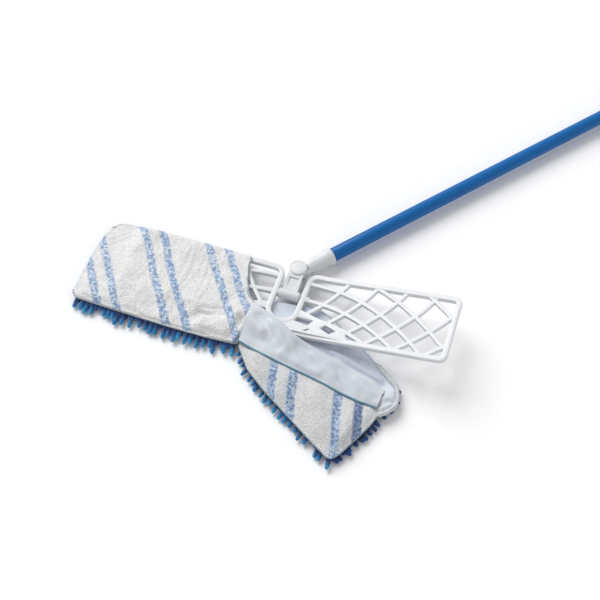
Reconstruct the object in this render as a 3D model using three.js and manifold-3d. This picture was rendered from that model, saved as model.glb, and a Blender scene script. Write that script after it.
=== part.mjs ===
// Flip-type flat mop lying on the floor: a flexible lattice frame with its two-sided textile
// cover half pulled off, a two-way knuckle and a long handle. Millimetres, +Z up.
// The origin is on the floor under the solid front of the hub; +X runs along the bare wing and
// +Y towards the handle.
import * as THREE from 'three';
import { mergeVertices } from 'three/addons/utils/BufferGeometryUtils.js';
import Module from 'manifold-3d';

const wasm = await Module();
wasm.setup();

// ---- sizes ----
const gap = 0.3;                  // clearance between touching pieces

const frameHalfLength = 218;      // lattice frame, hub centre to wing end
const frameWidth = 97;            // front edge to rear edge
const frameFrontY = -8.5;         // front edge
const frameThickness = 7;         // rails
const ribThickness = 5.4;         // lattice ribs
const railWidth = 7;              // outer rail
const ribWidth = 4.6;             // lattice rib
const ribPitch = 38.5;            // rearward ribs, along the frame
const ribStep = 25.5;             // forward ribs, across the frame
const ribCurve = 0.0029;
const notchHalfWidth = 15.5;      // gap for the neck
const notchFloorY = 10;           // front of the notch
const wingTilt = 11;              // degrees, how far the bare wing is bent up
const wingStartX = 34;            // line the bare wing bends about

const pileDepth = 8;              // chenille under the cover
const baseThickness = 1.6;        // backing cloth
const liningThickness = 0.3;      // lining cloth
const clothThickness = 2.6;       // striped terry with its lining
const pocketOverhang = 47;        // closed end of the pocket beyond the wing end
const coverFrontY = -41;          // front edge of the cover
const pocketWall = 2;             // rear wall of the pocket

const axleY = 48;                 // axle across the notch
const axleRadius = 2.2;
const axleReach = 27;             // half the axle's length
const barrelRadius = 6.5;
const bushRadius = 5.2;
const pinInset = 3.5;             // knuckle pin in front of the frame's rear edge
const neckHalfWidth = 11.5;
const lugThickness = 6;
const pinRadius = 3.5;
const capThickness = 1.7;

const handleTurn = 39;            // degrees, handle swung towards the bare wing
const tubeRadius = 9.5;
const tubeWall = 0.5;
const tubeLength = 1150;
const ferruleWall = 1.1;
const ferruleLength = 52;         // pin to the end of the collar
const socketStart = 22;           // pin to the bottom of the socket
const endCapLength = 62;

// ---- levels and places that follow from them ----
const baseBottom = pileDepth;
const liningBottom = baseBottom + baseThickness + gap;
const frameBottom = liningBottom + liningThickness + gap;
const frameTop = frameBottom + frameThickness;
const axleZ = frameBottom + frameThickness / 2;
const frameRearY = frameFrontY + frameWidth;
const frameMidY = frameFrontY + frameWidth / 2;
const pocketEndX = -frameHalfLength - pocketOverhang;
const pinY = frameRearY - pinInset;
const capRadius = neckHalfWidth - 0.1;
const tongueThickness = 9.4;
const clevisHalfHeight = tongueThickness / 2 + gap + lugThickness;
const endCapRadius = axleZ;       // the far end rests on the floor with the handle level

// ---- helpers ----
const solidOf = (geometry) => {
  const bare = geometry.clone();
  bare.deleteAttribute('normal');
  bare.deleteAttribute('uv');
  const merged = mergeVertices(bare, 1e-4);
  return new wasm.Manifold(new wasm.Mesh({
    numProp: 3,
    vertProperties: new Float32Array(merged.attributes.position.array),
    triVerts: new Uint32Array(merged.index.array),
  }));
};

const geometryOf = (solid) => {
  const mesh = solid.getMesh();
  const geometry = new THREE.BufferGeometry();
  geometry.setAttribute('position', new THREE.BufferAttribute(new Float32Array(mesh.vertProperties), 3));
  geometry.setIndex(new THREE.BufferAttribute(new Uint32Array(mesh.triVerts), 1));
  const flat = geometry.toNonIndexed();
  flat.computeVertexNormals();
  return flat;
};

const prism = (points, bottom, top) => {
  const shape = new THREE.Shape(points.map(([x, y]) => new THREE.Vector2(x, y)));
  const geometry = new THREE.ExtrudeGeometry(shape, { depth: top - bottom, bevelEnabled: false });
  return solidOf(geometry.translate(0, 0, bottom));
};

const boxOf = (x0, x1, y0, y1, z0, z1) => prism([[x0, y0], [x1, y0], [x1, y1], [x0, y1]], z0, z1);

// disc or cylinder turned about y; alongX and alongZ lay it down
const cylinder = (radius, from, to, sides = 24, farRadius = radius) => {
  const points = [[0, from], [radius, from], [farRadius, to], [0, to]]
    .map(([r, along]) => new THREE.Vector2(r, along));
  return solidOf(new THREE.LatheGeometry(points, sides));
};
const alongX = (solid) => solid.rotate([0, 0, -90]);
const alongZ = (solid) => solid.rotate([90, 0, 0]);

const arc = (cx, cy, radius, from, to, steps) => {
  const points = [];
  for (let i = 0; i <= steps; i++) {
    const angle = THREE.MathUtils.degToRad(from + ((to - from) * i) / steps);
    points.push([cx + radius * Math.cos(angle), cy + radius * Math.sin(angle)]);
  }
  return points;
};

const sideNormals = (path, closed) => path.map((p, i) => {
  const last = path.length - 1;
  const before = closed ? path[(i + last) % path.length] : path[Math.max(0, i - 1)];
  const after = closed ? path[(i + 1) % path.length] : path[Math.min(last, i + 1)];
  const unit = (a, b) => {
    const length = Math.hypot(b[0] - a[0], b[1] - a[1]) || 1;
    return [(b[0] - a[0]) / length, (b[1] - a[1]) / length];
  };
  const into = before === p ? unit(p, after) : unit(before, p);
  const out = after === p ? into : unit(p, after);
  const nx = -(into[1] + out[1]);
  const ny = into[0] + out[0];
  const scale = 2 / Math.max(nx * nx + ny * ny, 0.8);
  return [nx * scale, ny * scale];
});

const offset = (path, distance, closed = false) => {
  const normals = sideNormals(path, closed);
  return path.map(([x, y], i) => [x + normals[i][0] * distance, y + normals[i][1] * distance]);
};

const strip = (path, width, bottom, top) =>
  prism([...offset(path, width / 2), ...offset(path, -width / 2).reverse()], bottom, top);

const mirrored = (points) => points.map(([x, y]) => [-x, y]).reverse();

// teeth standing out to the right of the line from a to b
const toothed = (a, b, count, reach) => {
  const length = Math.hypot(b[0] - a[0], b[1] - a[1]);
  const [dx, dy] = [(b[0] - a[0]) / length, (b[1] - a[1]) / length];
  const at = (s, out) => [a[0] + dx * s + dy * out, a[1] + dy * s - dx * out];
  const points = [];
  for (let i = 0; i < count; i++) {
    const s = (length * (i + 0.15)) / count;
    const e = (length * (i + 0.85)) / count;
    const out = reach * (i % 3 === 1 ? 1 : 0.82);
    points.push(at(s, 0), at(s, out), at(e, out), at(e, 0));
  }
  return points;
};

// ---- lattice frame ----
const notchCentreY = notchFloorY + notchHalfWidth;
const notchFlare = 15;
const cornerRadius = 10;

const halfOutline = () => {
  const right = frameHalfLength;
  return [
    ...arc(right - cornerRadius, frameFrontY + cornerRadius, cornerRadius, -90, 0, 4),
    ...arc(right - cornerRadius, frameRearY - cornerRadius, cornerRadius, 0, 90, 4),
    ...arc(notchHalfWidth + notchFlare, frameRearY - notchFlare, notchFlare, 90, 180, 5),
    ...arc(0, notchCentreY, notchHalfWidth, 0, -75, 5),
  ];
};

const frameOutline = () => [...halfOutline(), ...mirrored(halfOutline())];

// ribs leaving the notch and curving towards the front
const forwardRib = (k) => {
  const apexX = 20 + 4.4 * k * k;
  const apexY = frameMidY + 6.5 + ribStep * k;
  const start = k > 1 ? apexX : notchHalfWidth + 3;
  const reach = Math.min(Math.sqrt((apexY - frameFrontY + 4) / ribCurve), frameHalfLength - start);
  const points = [];
  for (let i = 0; i <= 6; i++) {
    const x = start + (reach * i) / 6;
    points.push([x, apexY - ribCurve * (x - apexX) ** 2]);
  }
  return points;
};

// ribs leaving the front rail and steepening towards the rear
const rearwardRib = (k) => {
  const from = k === 0 ? -13 : -frameWidth / 2 - 3;
  const points = [];
  for (let i = 0; i <= 5; i++) {
    const y = from + ((frameWidth / 2 - from) * i) / 5;
    points.push([43 + ribPitch * k + 0.84 * y - 0.0047 * y * y, frameMidY + y]);
  }
  return points;
};

const hubHoles = [
  [[12, 12.5], [23, 21.5], [43, 17.5], [37, 9]],
  [[53, 9], [60, 14], [76, 8], [68, 2]],
  [[33, 0.5], [40, 5], [47, 1.5], [40, -1]],
];

// half of the frame on the +X side; the other half is its mirror image
const halfLattice = () => {
  const outline = prism(frameOutline(), frameBottom, frameTop);
  const inside = prism(offset(frameOutline(), railWidth, true), frameBottom - 1, frameTop + 1);
  let half = outline.subtract(inside);
  const low = axleZ - ribThickness / 2;
  const high = axleZ + ribThickness / 2;
  const ribs = [];
  for (let k = -1; k <= 3; k++) ribs.push(forwardRib(k));
  for (let k = 0; k <= 5; k++) ribs.push(rearwardRib(k));
  let web = null;
  for (const path of ribs) {
    const rib = strip(path, ribWidth, low, high);
    web = web ? web.add(rib) : rib;
  }
  half = half.add(web.intersect(outline));
  const hub = prism([[-1, frameFrontY + 4.5], [95, frameFrontY + 4.5], [88, 6], [58, frameMidY - 21.5],
    [31, frameMidY - 13], [22, frameMidY - 9], [-1, 12]], low - 0.4, high + 0.4);
  half = half.add(hub.intersect(outline));
  for (const hole of hubHoles) half = half.subtract(prism(hole, frameBottom - 1, frameTop + 1));
  half = half.add(boxOf(notchHalfWidth + 0.2, 31, axleY - 4, axleY + 4, frameBottom, frameTop));
  half = half.subtract(alongX(cylinder(axleRadius + gap, 10, axleReach + 1, 16))
    .translate([0, axleY, axleZ]));
  return half.intersect(boxOf(-0.01, 300, -100, 200, 0, 100));
};

const wingHalf = halfLattice();

const hingeWing = (solid) => solid
  .translate([-wingStartX, 0, -frameTop])
  .rotate([0, -wingTilt, 0])
  .translate([wingStartX, 0, frameTop]);

const frameLeft = () => wingHalf.intersect(boxOf(-1, wingStartX, -100, 200, 0, 100))
  .add(wingHalf.mirror([1, 0, 0]));
const frameRight = () => hingeWing(wingHalf.intersect(boxOf(wingStartX + gap, 300, -100, 200, 0, 100)));

// ---- axle, neck and knuckle ----
const axle = () => alongX(cylinder(axleRadius, -axleReach, axleReach, 16)).translate([0, axleY, axleZ]);

const barrelHalf = notchHalfWidth - 1.6;
const bushAt = (side) => {
  const ring = alongX(cylinder(bushRadius, barrelHalf + gap, notchHalfWidth - gap, 20)
    .subtract(cylinder(axleRadius + gap, 0, 30, 16)));
  return (side < 0 ? ring.mirror([1, 0, 0]) : ring).translate([0, axleY, axleZ]);
};

const neckBlock = () => {
  const barrel = alongX(cylinder(barrelRadius, -barrelHalf, barrelHalf, 24)).translate([0, axleY, axleZ]);
  const side = [
    [axleY, -5.6], [axleY + 14, -7.4], [pinY - 12, -clevisHalfHeight], [pinY, -clevisHalfHeight],
    [pinY, clevisHalfHeight], [pinY - 12, clevisHalfHeight], [axleY + 14, 7.4], [axleY, 5.6],
  ];
  const slab = prism(side.map(([y, z]) => [z, y]), -neckHalfWidth, neckHalfWidth)
    .rotate([0, 90, 0]).translate([0, 0, axleZ]);
  const lugs = alongZ(cylinder(neckHalfWidth, -clevisHalfHeight, clevisHalfHeight, 32))
    .translate([0, pinY, axleZ]);
  const slot = tongueThickness / 2 + gap;
  return barrel.add(slab).add(lugs)
    .subtract(boxOf(-30, 30, pinY - 11.4, pinY + 30, axleZ - slot, axleZ + slot))
    .subtract(alongX(cylinder(axleRadius + gap, -40, 40, 16)).translate([0, axleY, axleZ]))
    .subtract(alongZ(cylinder(pinRadius + gap, -40, 40, 20)).translate([0, pinY, axleZ]));
};

const knucklePin = () => alongZ(cylinder(pinRadius, -clevisHalfHeight, clevisHalfHeight, 20))
  .translate([0, pinY, axleZ]);

const knuckleCap = (side) => {
  const from = clevisHalfHeight + gap;
  const profile = [[0, from], [capRadius, from], [capRadius, from + 1],
    [capRadius - 0.8, from + capThickness],
    [0, from + capThickness]].map(([r, z]) => new THREE.Vector2(r, z));
  const cap = alongZ(solidOf(new THREE.LatheGeometry(profile, 32)));
  const shown = side > 0 ? cap : cap.mirror([0, 0, 1]);
  return shown.translate([0, pinY, axleZ]);
};

// ---- handle, built along +Y from the knuckle pin ----
const placeHandle = (solid) => solid.rotate([0, 0, -handleTurn]).translate([0, pinY, axleZ]);

const ferrule = () => {
  const outer = tubeRadius + ferruleWall;
  const profile = [[0, 13], [outer - 1.2, 13], [outer - 0.6, 16], [outer, ferruleLength - 8],
    [outer + 1.2, ferruleLength - 7], [outer + 1.2, ferruleLength],
    [0, ferruleLength]].map(([r, y]) => new THREE.Vector2(r, y));
  const body = solidOf(new THREE.LatheGeometry(profile, 32));
  const tongue = prism([...arc(0, 0, 9.6, 0, -180, 10), [-9.2, 18], [9.2, 18]],
    -tongueThickness / 2, tongueThickness / 2);
  return placeHandle(body.add(tongue)
    .subtract(cylinder(tubeRadius + gap / 2, socketStart, ferruleLength + 5, 32))
    .subtract(alongZ(cylinder(pinRadius + gap, -40, 40, 20))));
};

const tubeFrom = socketStart + gap;
const handleTube = () => placeHandle(cylinder(tubeRadius, tubeFrom, tubeFrom + tubeLength, 32)
  .subtract(cylinder(tubeRadius - tubeWall, tubeFrom - 5, tubeFrom + tubeLength + 5, 32)));

const tubeInsert = () => placeHandle(cylinder(tubeRadius - tubeWall - gap, tubeFrom, tubeFrom + 38, 24)
  .subtract(cylinder(5, tubeFrom - 1, tubeFrom + 30, 16)));

const endCap = () => {
  const start = tubeFrom + tubeLength - 26;
  const end = start + endCapLength;
  const rim = tubeRadius + 1.5;
  const profile = [[0, start], [rim, start], [rim + 0.4, start + 6], [endCapRadius, start + 24],
    [endCapRadius, start + 30], [rim, start + 36], [0, start + 36]].map(([r, y]) => new THREE.Vector2(r, y));
  const body = solidOf(new THREE.LatheGeometry(profile, 32));
  const eye = prism([[-10, start + 30], [10, start + 30], ...arc(0, end - 10, 10, 0, 180, 10)], -3.5, 3.5);
  const bore = cylinder(tubeRadius + gap / 2, start - 1, start + 26 + gap, 32);
  const hole = alongZ(cylinder(5, -20, 20, 20)).translate([0, end - 10, 0]);
  return placeHandle(body.add(eye).subtract(bore).subtract(hole));
};

// ---- cover, left half on the wing ----
const mouthLine = [[-36.5, coverFrontY + 1], [-34, 17], [-50, 31], [-57, 51], [-60, frameRearY + 5]];

const leftOutline = () => [
  ...mouthLine.slice(0, 4),
  [-60, frameRearY + gap + pocketWall],
  ...arc(pocketEndX + 8, frameRearY + gap + pocketWall - 12, 12, 90, 170, 3),
  ...arc(pocketEndX + 6, coverFrontY + 8, 6, 190, 260, 2),
  [-197, coverFrontY - 1], [-128, coverFrontY - 2],
];

const pocketLeft = () => {
  const top = frameTop + gap + clothThickness;
  const rear = frameRearY + gap;
  const shell = [
    [coverFrontY - 3, frameBottom], [coverFrontY - 3, frameBottom + 1.6], [coverFrontY + 18, top - 1.4],
    [coverFrontY + 30, top], [rear - 4, top], [rear + pocketWall, top - 2.4],
    [rear + pocketWall, frameBottom],
    [rear, frameBottom], [rear, frameTop + gap], [frameFrontY - 6, frameTop + gap],
    [frameFrontY - 6, frameBottom],
  ];
  const run = prism(shell.map(([y, z]) => [-z, y]), pocketEndX + 9, 0).rotate([0, 90, 0]);
  const end = prism([[-top + 4, coverFrontY - 3], [-frameBottom, coverFrontY - 3],
    [-frameBottom, rear + pocketWall], [-top + 4, rear + pocketWall]],
  pocketEndX - 20, pocketEndX + 9.01).rotate([0, 90, 0]);
  return run.add(end).intersect(prism(leftOutline(), 0, 60));
};

const leftEdge = () => {
  const loop = leftOutline();
  return [...loop.slice(4), loop[0]];
};

const baseLeft = () => prism(leftOutline(), baseBottom, baseBottom + baseThickness);
const liningLeft = () => prism(offset(leftOutline(), 3, true), liningBottom, liningBottom + liningThickness);
const bindingLeft = () => strip(offset(leftEdge(), -1.6), 2.4, baseBottom, frameBottom + 1.2);
const mouthHem = () => strip(offset(mouthLine.slice(1, 4).concat([[-60, frameRearY]]), -1.7), 2.4,
  frameTop + gap, frameTop + gap + clothThickness);

const pileLeft = () => {
  const rear = frameRearY - 2;
  const front = coverFrontY + 4;
  const outline = [
    [-38, front], [-38, 15], [-60, 33], [-64, rear], [pocketEndX + 5, rear], [pocketEndX + 3, front],
    ...toothed([pocketEndX + 6, front], [-42, front], 24, 14),
  ];
  return prism(outline, 0, pileDepth - gap);
};

// ---- cover, right half pulled off and turned on the floor ----
const turnPoint = [-35, coverFrontY - 1];
const frontSide = [[-13, -70], [16, -90], [62, -117]];
const frontCorner = [118, -152];
const endCorner = [155, -79];
const tabCorner = [172, -62];
const rearCorner = [166, -37];

const rightOutline = () => [
  turnPoint, ...frontSide, frontCorner, endCorner, tabCorner, rearCorner, [136, -14], [112, 3],
  [85, 16], [62, 30],
  [48, 34], [17, 34], [0, 34], [-14, 30], [-32, 15],
];

const baseRight = () => prism(rightOutline(), baseBottom, baseBottom + baseThickness);
const liningRight = () => prism(offset(rightOutline(), 3, true), liningBottom,
  liningBottom + liningThickness);

const pileRight = () => {
  const edge = offset([turnPoint, ...frontSide, frontCorner], 4);
  const outline = [
    [edge[0][0] + 3, edge[0][1] + 6], ...toothed(edge[0], edge[1], 3, 13),
    ...toothed(edge[1], edge[2], 4, 13),
    ...toothed(edge[2], edge[3], 6, 13), ...toothed(edge[3], edge[4], 7, 13),
    [frontCorner[0] - 1, frontCorner[1] + 6],
    ...toothed([frontCorner[0] + 1, frontCorner[1] + 9], [endCorner[0] - 2, endCorner[1] - 2], 8, 12),
    [endCorner[0] - 2, endCorner[1] + 2], [tabCorner[0] - 4, tabCorner[1] + 2],
    [rearCorner[0] - 3, rearCorner[1]],
    [110, 0], [60, 27], [46, 31], [0, 31], [-12, 27], [-28, 15],
  ];
  return prism(outline, 0, pileDepth - gap);
};

const foldLine = [[42, frameFrontY - 2.5], [61, -20], [87, -30], [124, -37], [148, -44]];
const hemLine = [[-33.5, -36.5], [-5, -45], [32, -52], [86, -62], [125, -70], [146, -72]];

const flapRight = () => prism([
  [turnPoint[0] + 3, turnPoint[1] - 0.5], ...offset(frontSide, 1.5), [frontCorner[0] - 1, frontCorner[1] + 3],
  [endCorner[0] - 5, endCorner[1] + 2],
  [148, -48], ...foldLine.slice(0, 4).reverse(), [-31, frameFrontY - 2],
], frameBottom, frameBottom + clothThickness);

const cuffRight = () => {
  const low = frameBottom + clothThickness + gap;
  const high = frameTop + gap + clothThickness;
  const front = prism([...hemLine, ...foldLine.slice().reverse(), [-30.5, frameFrontY - 1]], low, low + 5);
  const over = prism([[-30.5, frameFrontY - 14], [22, frameFrontY - 14], [22, -7.5], [14, -4.5],
    [-26, 10.5], [-30.5, 12]],
    frameTop + gap, high);
  const riser = prism([[-30.5, frameFrontY - 14], [22, frameFrontY - 14], [22, frameFrontY - gap],
    [-30.5, frameFrontY - gap]], low, high);
  return front.add(over).add(riser);
};

const cuffHem = () => strip(offset(hemLine, -1.7), 2.4, frameBottom + clothThickness + gap,
  frameBottom + clothThickness + gap + 3);
const bindingRight = () => strip(offset([turnPoint, ...frontSide, frontCorner, endCorner], -1.8), 2.4,
  baseBottom, frameBottom + 1.2);
const cornerTab = () => prism([[150.5, -48], [152, -72], [156, -74], [170, -63], [164, -39]],
  frameBottom, frameBottom + 5.4);

// ---- assembly ----
const finishes = {
  frame: { color: 0xeef0f2, roughness: 0.42, metalness: 0 },
  knuckle: { color: 0xe6e9ec, roughness: 0.38, metalness: 0 },
  steel: { color: 0xb8bcc0, roughness: 0.3, metalness: 1 },
  tube: { color: 0x1162ac, roughness: 0.3, metalness: 0.1 },
  bluePlastic: { color: 0x1d57a0, roughness: 0.45, metalness: 0 },
  chenille: { color: 0x1f5fae, roughness: 0.95, metalness: 0 },
  terry: { color: 0xe9eaec, roughness: 0.95, metalness: 0 },
  backing: { color: 0x2a5f9e, roughness: 0.95, metalness: 0 },
  lining: { color: 0xc9ced8, roughness: 0.85, metalness: 0 },
  hem: { color: 0x7fb0c4, roughness: 0.9, metalness: 0 },
};

const pieces = [
  ['frame_left', frameLeft, 'frame'],
  ['frame_right', frameRight, 'frame'],
  ['axle', axle, 'steel'],
  ['axle_bush_left', () => bushAt(-1), 'knuckle'],
  ['axle_bush_right', () => bushAt(1), 'knuckle'],
  ['neck_block', neckBlock, 'knuckle'],
  ['knuckle_pin', knucklePin, 'steel'],
  ['knuckle_cap_top', () => knuckleCap(1), 'knuckle'],
  ['knuckle_cap_bottom', () => knuckleCap(-1), 'knuckle'],
  ['ferrule', ferrule, 'knuckle'],
  ['handle_tube', handleTube, 'tube'],
  ['tube_insert', tubeInsert, 'bluePlastic'],
  ['end_cap', endCap, 'bluePlastic'],
  ['pile_left', pileLeft, 'chenille'],
  ['base_left', baseLeft, 'backing'],
  ['lining_left', liningLeft, 'lining'],
  ['pocket_left', pocketLeft, 'terry'],
  ['binding_left', bindingLeft, 'hem'],
  ['mouth_hem_left', mouthHem, 'hem'],
  ['pile_right', pileRight, 'chenille'],
  ['base_right', baseRight, 'backing'],
  ['lining_right', liningRight, 'lining'],
  ['flap_right', flapRight, 'terry'],
  ['cuff_right', cuffRight, 'lining'],
  ['cuff_hem_right', cuffHem, 'hem'],
  ['binding_right', bindingRight, 'hem'],
  ['corner_tab_right', cornerTab, 'lining'],
];

const mop = new THREE.Group();
mop.name = 'mop';
for (const [name, build, finish] of pieces) {
  const mesh = new THREE.Mesh(geometryOf(build()), new THREE.MeshStandardMaterial(finishes[finish]));
  mesh.name = name;
  mop.add(mesh);
}

export default mop;
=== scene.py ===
# Flip-type flat mop: lattice frame, half-removed two-sided cover, two-way knuckle and tube handle.
import math
import random
import bpy
import numpy as np
from mathutils import Matrix, Vector, noise


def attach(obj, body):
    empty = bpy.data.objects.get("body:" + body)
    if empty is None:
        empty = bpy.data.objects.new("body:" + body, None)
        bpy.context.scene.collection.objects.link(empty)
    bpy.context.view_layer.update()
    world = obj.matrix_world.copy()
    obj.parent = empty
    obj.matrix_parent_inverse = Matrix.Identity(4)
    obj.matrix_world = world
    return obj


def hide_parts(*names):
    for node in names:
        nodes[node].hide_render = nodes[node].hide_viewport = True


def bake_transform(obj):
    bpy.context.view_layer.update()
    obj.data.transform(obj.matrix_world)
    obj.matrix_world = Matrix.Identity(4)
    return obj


mm = 0.001
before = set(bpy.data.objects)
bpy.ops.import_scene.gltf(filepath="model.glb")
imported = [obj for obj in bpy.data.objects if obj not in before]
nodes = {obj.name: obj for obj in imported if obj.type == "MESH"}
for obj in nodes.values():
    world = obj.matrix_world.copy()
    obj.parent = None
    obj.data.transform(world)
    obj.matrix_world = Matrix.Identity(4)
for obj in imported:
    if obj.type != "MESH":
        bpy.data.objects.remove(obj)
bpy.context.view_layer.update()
random.seed(7)
print("frame loaded")


def deselectAll():
    if bpy.context.object and bpy.context.object.mode != "OBJECT":
        bpy.ops.object.mode_set(mode="OBJECT")
    bpy.ops.object.select_all(action="DESELECT")


def pick(obj):
    deselectAll()
    obj.select_set(True)
    bpy.context.view_layer.objects.active = obj
    return obj


def named(obj, name):
    obj.name = name
    obj.data.name = name
    return obj


def place(obj, matrix=None):  # leaves the object at the origin with its place in its mesh
    bpy.context.view_layer.update()
    if matrix is not None:
        obj.data.transform(matrix @ obj.matrix_world)
    else:
        obj.data.transform(obj.matrix_world)
    obj.matrix_world = Matrix.Identity(4)
    obj.data.update()
    return obj


def applyAll(obj):
    pick(obj)
    for modifier in list(obj.modifiers):
        bpy.ops.object.modifier_apply(modifier=modifier.name)
    return obj


def addModifier(obj, kind, **values):
    modifier = obj.modifiers.new(kind.title(), kind)
    for key, value in values.items():
        setattr(modifier, key, value)
    return modifier


def smooth(obj, angle=35):
    pick(obj)
    bpy.ops.object.shade_smooth_by_angle(angle=math.radians(angle))
    return obj


def recalc(obj):
    pick(obj)
    bpy.ops.object.mode_set(mode="EDIT")
    bpy.ops.mesh.select_all(action="SELECT")
    bpy.ops.mesh.remove_doubles(threshold=1e-6)
    bpy.ops.mesh.normals_make_consistent(inside=False)
    bpy.ops.object.mode_set(mode="OBJECT")
    return obj


def joined(objects, name):
    deselectAll()
    for obj in objects:
        obj.select_set(True)
    bpy.context.view_layer.objects.active = objects[0]
    if len(objects) > 1:
        bpy.ops.object.join()
    return named(bpy.context.object, name)


def setMaterials(obj, *materials):
    obj.data.materials.clear()
    for material in materials:
        obj.data.materials.append(material)


def rounded(obj, width, segments=3, angle=40):
    addModifier(obj, "BEVEL", width=width * mm, segments=segments, limit_method="ANGLE",
                angle_limit=math.radians(angle))
    return applyAll(obj)


def turned(name, profile, sides=48):
    # a ring extruded and scaled step by step along +Z; profile is (radius, height) in mm
    deselectAll()
    radius, height = profile[0]
    bpy.ops.mesh.primitive_circle_add(vertices=sides, radius=radius * mm, fill_type="NGON",
                                      location=(0, 0, height * mm))
    obj = named(bpy.context.object, name)
    place(obj)
    bpy.ops.object.mode_set(mode="EDIT")
    bpy.ops.mesh.select_all(action="SELECT")
    for nextRadius, nextHeight in profile[1:]:
        bpy.ops.mesh.extrude_region_move(
            TRANSFORM_OT_translate={"value": (0, 0, (nextHeight - height) * mm)})
        factor = nextRadius / radius
        bpy.ops.transform.resize(value=(factor, factor, 1), center_override=(0, 0, nextHeight * mm))
        radius, height = nextRadius, nextHeight
    bpy.ops.object.mode_set(mode="OBJECT")
    return smooth(recalc(obj))


def plate(name, outline, bottom, top, bevel=0.0, segments=2):
    # a filled outline, extruded upwards and with its edges rounded; mm
    deselectAll()
    bpy.ops.mesh.primitive_circle_add(vertices=len(outline), radius=1, fill_type="NGON")
    obj = named(bpy.context.object, name)
    place(obj)
    for vertex, (x, y) in zip(obj.data.vertices, outline):
        vertex.co = (x * mm, y * mm, bottom * mm)
    bpy.ops.object.mode_set(mode="EDIT")
    bpy.ops.mesh.select_all(action="SELECT")
    bpy.ops.mesh.extrude_region_move(TRANSFORM_OT_translate={"value": (0, 0, (top - bottom) * mm)})
    bpy.ops.object.mode_set(mode="OBJECT")
    recalc(obj)
    if bevel:
        rounded(obj, bevel, segments)
    return smooth(obj)


def cutAway(obj, cutter):
    modifier = addModifier(obj, "BOOLEAN", operation="DIFFERENCE", solver="EXACT")
    modifier.object = cutter
    applyAll(obj)
    bpy.data.objects.remove(cutter)
    return obj


def roundedSection(width, height, corner):
    points = []
    steps = 2  # faces round each corner
    for cx, cy, start in ((1, 1, 0), (-1, 1, 90), (-1, -1, 180), (1, -1, 270)):
        for step in range(steps + 1):
            angle = math.radians(start + 90 * step / steps)
            points.append(((cx * (width / 2 - corner) + corner * math.cos(angle)) * mm,
                           (cy * (height / 2 - corner) + corner * math.sin(angle)) * mm))
    return points


def swept(name, path, width, height, corner, closed=False):
    # a bar with a rounded section that follows a path of (x, y, z) points in mm
    deselectAll()
    bpy.ops.curve.primitive_bezier_circle_add(radius=0.01)
    section = bpy.context.object
    section.data.splines.clear()
    outline = roundedSection(width, height, corner)
    spline = section.data.splines.new("POLY")
    spline.points.add(len(outline) - 1)
    for point, (x, y) in zip(spline.points, outline):
        point.co = (x, y, 0, 1)
    spline.use_cyclic_u = True
    deselectAll()
    bpy.ops.curve.primitive_nurbs_path_add()
    bar = bpy.context.object
    bar.data.splines.clear()
    line = bar.data.splines.new("POLY")
    line.points.add(len(path) - 1)
    for point, (x, y, z) in zip(line.points, path):
        point.co = (x * mm, y * mm, z * mm, 1)
    line.use_cyclic_u = closed
    bar.data.dimensions = "3D"
    bar.data.twist_mode = "Z_UP"
    bar.data.bevel_mode = "OBJECT"
    bar.data.bevel_object = section
    bar.data.use_fill_caps = not closed
    pick(bar)
    bpy.ops.object.convert(target="MESH")
    obj = named(bpy.context.object, name)
    bpy.data.objects.remove(section)
    place(obj)
    return recalc(obj)


def copies(name, base, matrices):
    # one mesh from many placed copies of a small base mesh
    source = base.data
    count = len(source.vertices)
    local = np.array([v.co for v in source.vertices], float)
    faces = [tuple(p.vertices) for p in source.polygons]
    points, polygons = [], []
    for index, matrix in enumerate(matrices):
        m = np.array(matrix, float)
        points.append(local @ m[:3, :3].T + m[:3, 3])
        polygons += [tuple(v + index * count for v in face) for face in faces]
    mesh = bpy.data.meshes.new(name)
    mesh.from_pydata(np.concatenate(points).tolist(), [], polygons)
    mesh.polygons.foreach_set("use_smooth", [True] * len(mesh.polygons))
    shares = mesh.attributes.new("tipShare", "FLOAT", "POINT")
    shares.data.foreach_set("value", np.tile(np.clip(-local[:, 2] / 2, 0, 1), len(points)))
    obj = bpy.data.objects.new(name, mesh)
    bpy.context.scene.collection.objects.link(obj)
    return obj


def along(path, share):
    # the point at a share of a polyline's length
    path = [Vector(p) for p in path]
    lengths = [(b - a).length for a, b in zip(path, path[1:])]
    target = share * sum(lengths)
    for (a, b), length in zip(zip(path, path[1:]), lengths):
        if target <= length:
            return a.lerp(b, target / max(length, 1e-9))
        target -= length
    return path[-1]


def eased(path, count):
    # the polyline resampled evenly and rounded at its corners
    points = [along(path, i / (count - 1)) for i in range(count)]
    for _ in range(3):
        middle = [(a + b * 2 + c) / 4 for a, b, c in zip(points, points[1:], points[2:])]
        points = [points[0]] + middle + [points[-1]]
    return points


def ramp(value, low, high):
    t = min(max((value - low) / (high - low), 0), 1)
    return t * t * (3 - 2 * t)


def ripple(x, y, scale, seed=0.0):
    return noise.noise(Vector((x * scale, y * scale, seed)))


def sheetGrid(name, across, alongCount, where):
    # a grid whose points go where(s, t) says, s and t from 0 to 1, in mm
    deselectAll()
    bpy.ops.mesh.primitive_grid_add(x_subdivisions=across, y_subdivisions=alongCount, size=1)
    obj = named(bpy.context.object, name)
    for vertex in obj.data.vertices:
        x, y, z = where(vertex.co.x + 0.5, vertex.co.y + 0.5)
        vertex.co = (x * mm, y * mm, z * mm)
    obj.data.update()
    return obj


def setGoing(obj, body, slotName, *cad):
    # hides the CAD nodes that a piece stands for and hangs the piece on the body that carries it
    if cad:
        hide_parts(*cad)
    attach(obj, body)
    return obj


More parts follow.
